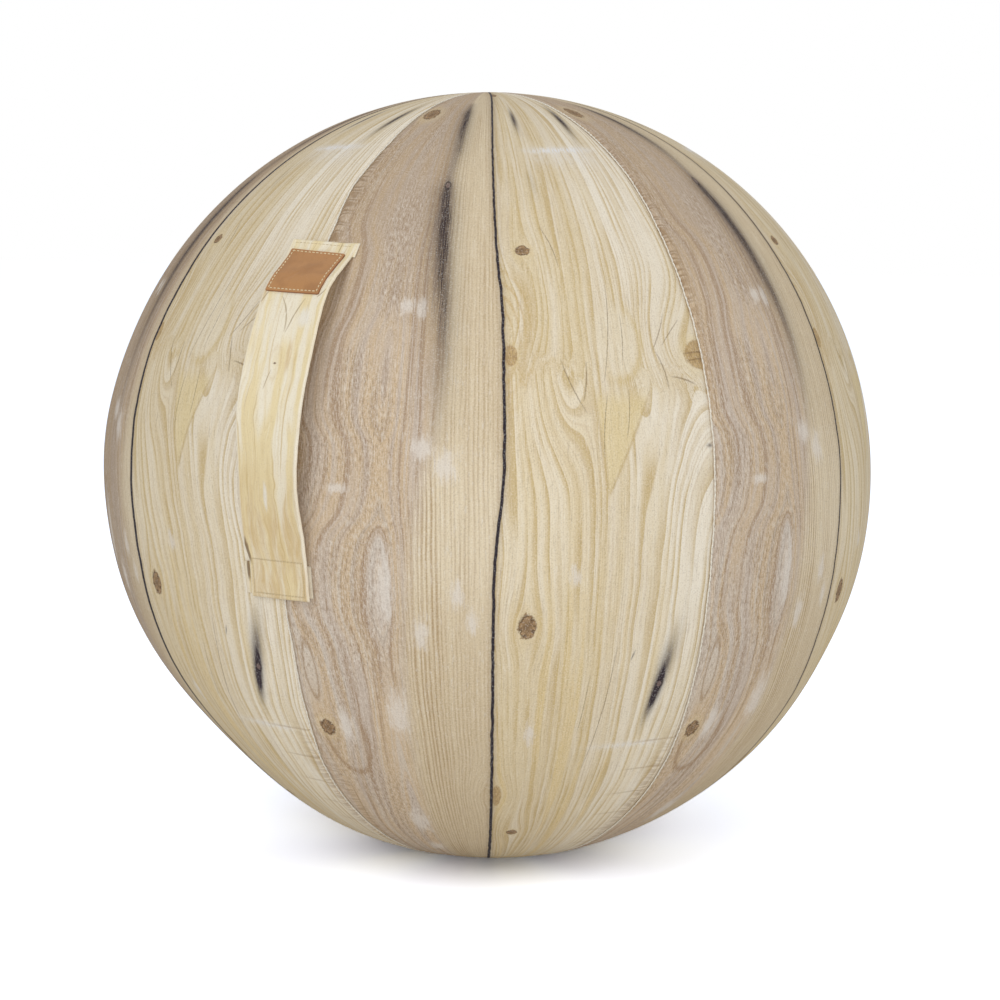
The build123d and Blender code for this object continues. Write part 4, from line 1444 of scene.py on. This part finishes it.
def seam_thread(name, azimuth, latitudes, settings, material):
    """The pale line of thread that shows along a seam, tight over the small gathers of the cloth."""
    latitude = np.arange(*latitudes, 0.13)
    along = np.radians(latitude) * BALL_RADIUS
    beat = np.abs(np.sin(along * math.pi / SEAM_PITCH))
    drift = 0.00016 * np.sin(along * 190 + azimuth) + 0.00014 * np.sin(along * 710 + 2 * azimuth)
    seam = seam_azimuth(azimuth / PANEL_TURN, latitude)
    turn = seam + np.degrees(drift / (BALL_RADIUS * np.cos(np.radians(latitude))))
    path = on_ball(turn, latitude, SEAM_THREAD_HEIGHT - settings.seam_depth + 0.0002 * beat)
    points, faces = [], []
    add_thread(points, faces, path, direction(turn, latitude), SEAM_THREAD_RADIUS + SEAM_THREAD_SWELL * beat)
    piece = new_mesh(name, points, faces)
    piece.data.materials.append(material)
    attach(piece, "cover")


class BALL_OT_make_seams(bpy.types.Operator):
    """Makes the thread in each seam and the topstitching along the zip"""

    bl_idname = "sitting_ball.make_seams"
    bl_label = "Make Seams"

    def execute(self, context):
        settings = context.scene.ball_cover
        thread = thread_material("seam_thread", settings.thread)
        low, high = ZIP_LATITUDES
        bottom, top = THREAD_LATITUDES
        for index in range(PANEL_COUNT):
            azimuth = index * PANEL_TURN
            if azimuth == ZIP_AZIMUTH:
                seam_thread("seam_thread_over_zip", azimuth, (high + 0.3, top), settings, thread)
                seam_thread("seam_thread_under_zip", azimuth, (bottom, low - 0.3), settings, thread)
            else:
                seam_thread(f"seam_thread_{index + 1}", azimuth, (bottom, top), settings, thread)
        latitude = np.linspace(low - 0.5, high + 0.5, 700)
        aside = np.degrees((settings.zip_slot + 0.0028) / (BALL_RADIUS * np.cos(np.radians(latitude))))
        for side, name in ((-1, "zip_stitches_left"), (1, "zip_stitches_right")):
            azimuth = ZIP_AZIMUTH + side * aside
            path = on_ball(azimuth, latitude, 0.0001)
            outward = direction(azimuth, latitude)
            sew(name, path, outward, pitch=0.0034, radius=0.00026, material=thread)
        return {"FINISHED"}


def make_skin(source):
    """The inner ball's skin, pressed in where the cover is dented. It stays round where it rests."""
    mesh = source.data.copy()
    mesh.name = "inner_ball_skin"
    places = np.empty(len(mesh.vertices) * 3)
    mesh.vertices.foreach_get("co", places)
    places = places.reshape(-1, 3)
    away = places - np.array([0, 0, CENTRE_HEIGHT])
    radius = np.linalg.norm(away, axis=1)
    latitude = np.degrees(np.arcsin(np.clip(away[:, 2] / radius, -1, 1)))
    azimuth = np.degrees(np.arctan2(away[:, 0], -away[:, 1]))
    depth = np.minimum(dent_height(azimuth, latitude), 0)
    settled = bell(places[:, 2], 0.004)
    places += (away / radius[:, None]) * (depth * (1 - settled))[:, None]
    mesh.vertices.foreach_set("co", places.ravel())
    mesh.update()
    mesh.materials.clear()
    mesh.materials.append(pvc_material())
    skin = add_object("inner_ball_skin", mesh)
    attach(skin, "cover")
    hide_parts("inner_ball")


class BALL_OT_dress_frame(bpy.types.Operator):
    """Fits the inner ball to the dented cover and gives the zip and the valve their materials"""

    bl_idname = "sitting_ball.dress_frame"
    bl_label = "Dress Frame"

    def execute(self, context):
        make_skin(frame["nodes"]["inner_ball"])
        tape, teeth, metal = tape_material(), teeth_material(), metal_material()
        finishes = {
            "valve_plug": valve_material(),
            "zip_tape_left": tape,
            "zip_tape_right": tape,
            "zip_chain_left": teeth,
            "zip_chain_right": teeth,
            "zip_top_stop": teeth,
            "zip_bottom_stop": teeth,
            "zip_slider": metal,
            "zip_pull": metal,
        }
        for name, material in finishes.items():
            node = frame["nodes"][name]
            node.data.materials.clear()
            node.data.materials.append(material)
        return {"FINISHED"}


class StageSettings(bpy.types.PropertyGroup):
    """Camera, light and floor."""

    camera_azimuth: FloatProperty(
        name="Camera azimuth", description="Turn of the camera round the ball", default=math.radians(28.6),
        subtype="ANGLE",
    )
    camera_elevation: FloatProperty(
        name="Camera elevation", description="Rise of the camera", default=math.radians(7.0), subtype="ANGLE"
    )
    camera_distance: FloatProperty(
        name="Camera distance", description="Distance from the ball's centre", default=1.95, unit="LENGTH"
    )
    lens: FloatProperty(name="Lens", description="Focal length in millimetres", default=81.4)
    lamp_distance: FloatProperty(
        name="Lamp distance", description="Distance of each lamp from the ball's centre", default=2.6,
        unit="LENGTH",
    )
    daylight: FloatProperty(
        name="Daylight", description="Strength of the light from all round", default=0.445
    )
    left_power: FloatProperty(
        name="Left power", description="Power of the lamp high on the left", default=11.5, unit="POWER"
    )
    front_power: FloatProperty(
        name="Front power", description="Power of the lamp at the camera", default=10.6, unit="POWER"
    )
    top_power: FloatProperty(
        name="Top power", description="Power of the lamp over the ball", default=6.8, unit="POWER"
    )
    right_power: FloatProperty(
        name="Right power", description="Power of the lamp high on the right", default=8.0, unit="POWER"
    )


# Lamps: the start of their name, turn from the camera and elevation in degrees, and width in metres.
LAMPS = (
    ("left", -33, 30, 1.2),
    ("front", 0, 2, 1.0),
    ("top", 0, 80, 1.6),
    ("right", 54, 27, 1.2),
)
# What the camera sees of the lit floor, so that it is plain white there and keeps the ball's shadow.
FLOOR_AS_SEEN = (2.26, 2.45, 2.84, 1)
FLOOR_REACH = 14.0


def face_ball(thing, azimuth, elevation, distance):
    """Puts a lamp or the camera at a distance from the ball's centre and turns it to the ball."""
    towards = Vector(direction(azimuth, elevation))
    thing.location = Vector((0, 0, CENTRE_HEIGHT)) + towards * distance
    thing.rotation_euler = towards.to_track_quat("Z", "Y").to_euler()


def add_lamp(name, azimuth, elevation, distance, width, power):
    """Square soft lamp that faces the ball's centre."""
    lamp = bpy.data.lights.new(name, "AREA")
    lamp.size = width
    lamp.energy = power
    face_ball(add_object(name, lamp), azimuth, elevation, distance)


def choose_shader(tree, share, first, second, end):
    """Sends the first or the second of two shaders to an output, by a share."""
    blend = tree.nodes.new("ShaderNodeMixShader")
    for output, slot in zip((share, first, second), blend.inputs):
        tree.links.new(output, slot)
    tree.links.new(blend.outputs[0], tree.nodes[end].inputs[0])


def set_camera(settings, azimuth, elevation):
    """Makes the camera and looks through it."""
    camera = bpy.data.cameras.new("camera")
    camera.lens = settings.lens
    camera.sensor_width = 36
    camera.shift_x = 0.012
    camera.shift_y = -0.025
    eye = add_object("camera", camera)
    face_ball(eye, azimuth, elevation, settings.camera_distance)
    bpy.context.scene.camera = eye


def set_daylight(strength):
    """Soft white light from all round, with a full white background for the camera and for glints."""
    world = bpy.data.worlds.new("daylight")
    world.use_nodes = True
    bpy.context.scene.world = world
    tree = world.node_tree
    light = tree.nodes["Background"]
    seen = tree.nodes.new("ShaderNodeBackground")
    for background, level in ((light, strength), (seen, 1.0)):
        background.inputs["Color"].default_value = (1, 1, 1, 1)
        background.inputs["Strength"].default_value = level
    path = tree.nodes.new("ShaderNodeLightPath")
    either = tree.nodes.new("ShaderNodeMath")
    either.operation = "MAXIMUM"
    tree.links.new(path.outputs["Is Camera Ray"], either.inputs[0])
    tree.links.new(path.outputs["Is Glossy Ray"], either.inputs[1])
    choose_shader(tree, either.outputs[0], light.outputs[0], seen.outputs[0], "World Output")


def make_floor():
    """The white floor."""
    reach = FLOOR_REACH
    corners = [(-reach, -reach, 0), (reach, -reach, 0), (reach, reach, 0), (-reach, reach, 0)]
    floor = new_mesh("floor", corners, [(0, 1, 2, 3)], smooth=False)
    white = bpy.data.materials.new("floor_white")
    white.use_nodes = True
    tree = white.node_tree
    shader = tree.nodes["Principled BSDF"]
    shader.inputs["Base Color"].default_value = (0.92, 0.92, 0.92, 1)
    shader.inputs["Roughness"].default_value = 1.0
    shader.inputs["Specular IOR Level"].default_value = 0.0
    seen = tree.nodes.new("ShaderNodeBsdfDiffuse")
    seen.inputs["Color"].default_value = FLOOR_AS_SEEN
    path = tree.nodes.new("ShaderNodeLightPath")
    camera_ray = path.outputs["Is Camera Ray"]
    choose_shader(tree, camera_ray, shader.outputs[0], seen.outputs[0], "Material Output")
    floor.data.materials.append(white)


class BALL_OT_set_stage(bpy.types.Operator):
    """Makes the floor, the light and the camera"""

    bl_idname = "sitting_ball.set_stage"
    bl_label = "Set Stage"

    def execute(self, context):
        settings = context.scene.ball_stage
        context.scene.view_settings.view_transform = "Standard"
        azimuth, elevation = math.degrees(settings.camera_azimuth), math.degrees(settings.camera_elevation)
        set_camera(settings, azimuth, elevation)
        for name, turn, rise, width in LAMPS:
            power = getattr(settings, f"{name}_power")
            add_lamp(f"{name}_lamp", azimuth + turn, rise, settings.lamp_distance, width, power)
        set_daylight(settings.daylight)
        make_floor()
        return {"FINISHED"}


class BALL_PT_panel(bpy.types.Panel):
    """Lists the steps that dress the ball"""

    bl_label = "Sitting Ball"
    bl_idname = "BALL_PT_panel"
    bl_space_type = "VIEW_3D"
    bl_region_type = "UI"
    bl_category = "Sitting Ball"

    def draw(self, context):
        for operator in OPERATORS:
            self.layout.operator(operator.bl_idname)


SETTINGS = {"ball_cover": CoverSettings, "ball_handle": HandleSettings, "ball_stage": StageSettings}
OPERATORS = (
    BALL_OT_set_stage, BALL_OT_make_cover, BALL_OT_make_seams, BALL_OT_make_handle, BALL_OT_dress_frame,
)


def register():
    for group in (*SETTINGS.values(), *OPERATORS, BALL_PT_panel):
        bpy.utils.register_class(group)
    for name, group in SETTINGS.items():
        setattr(bpy.types.Scene, name, PointerProperty(type=group))


def unregister():
    for name in SETTINGS:
        delattr(bpy.types.Scene, name)
    for group in reversed((*SETTINGS.values(), *OPERATORS, BALL_PT_panel)):
        bpy.utils.unregister_class(group)


def main():
    """Makes every piece in order."""
    register()
    for operator in OPERATORS:
        folder, step = operator.bl_idname.split(".")
        getattr(getattr(bpy.ops, folder), step)()


if __name__ == "__main__":
    main()
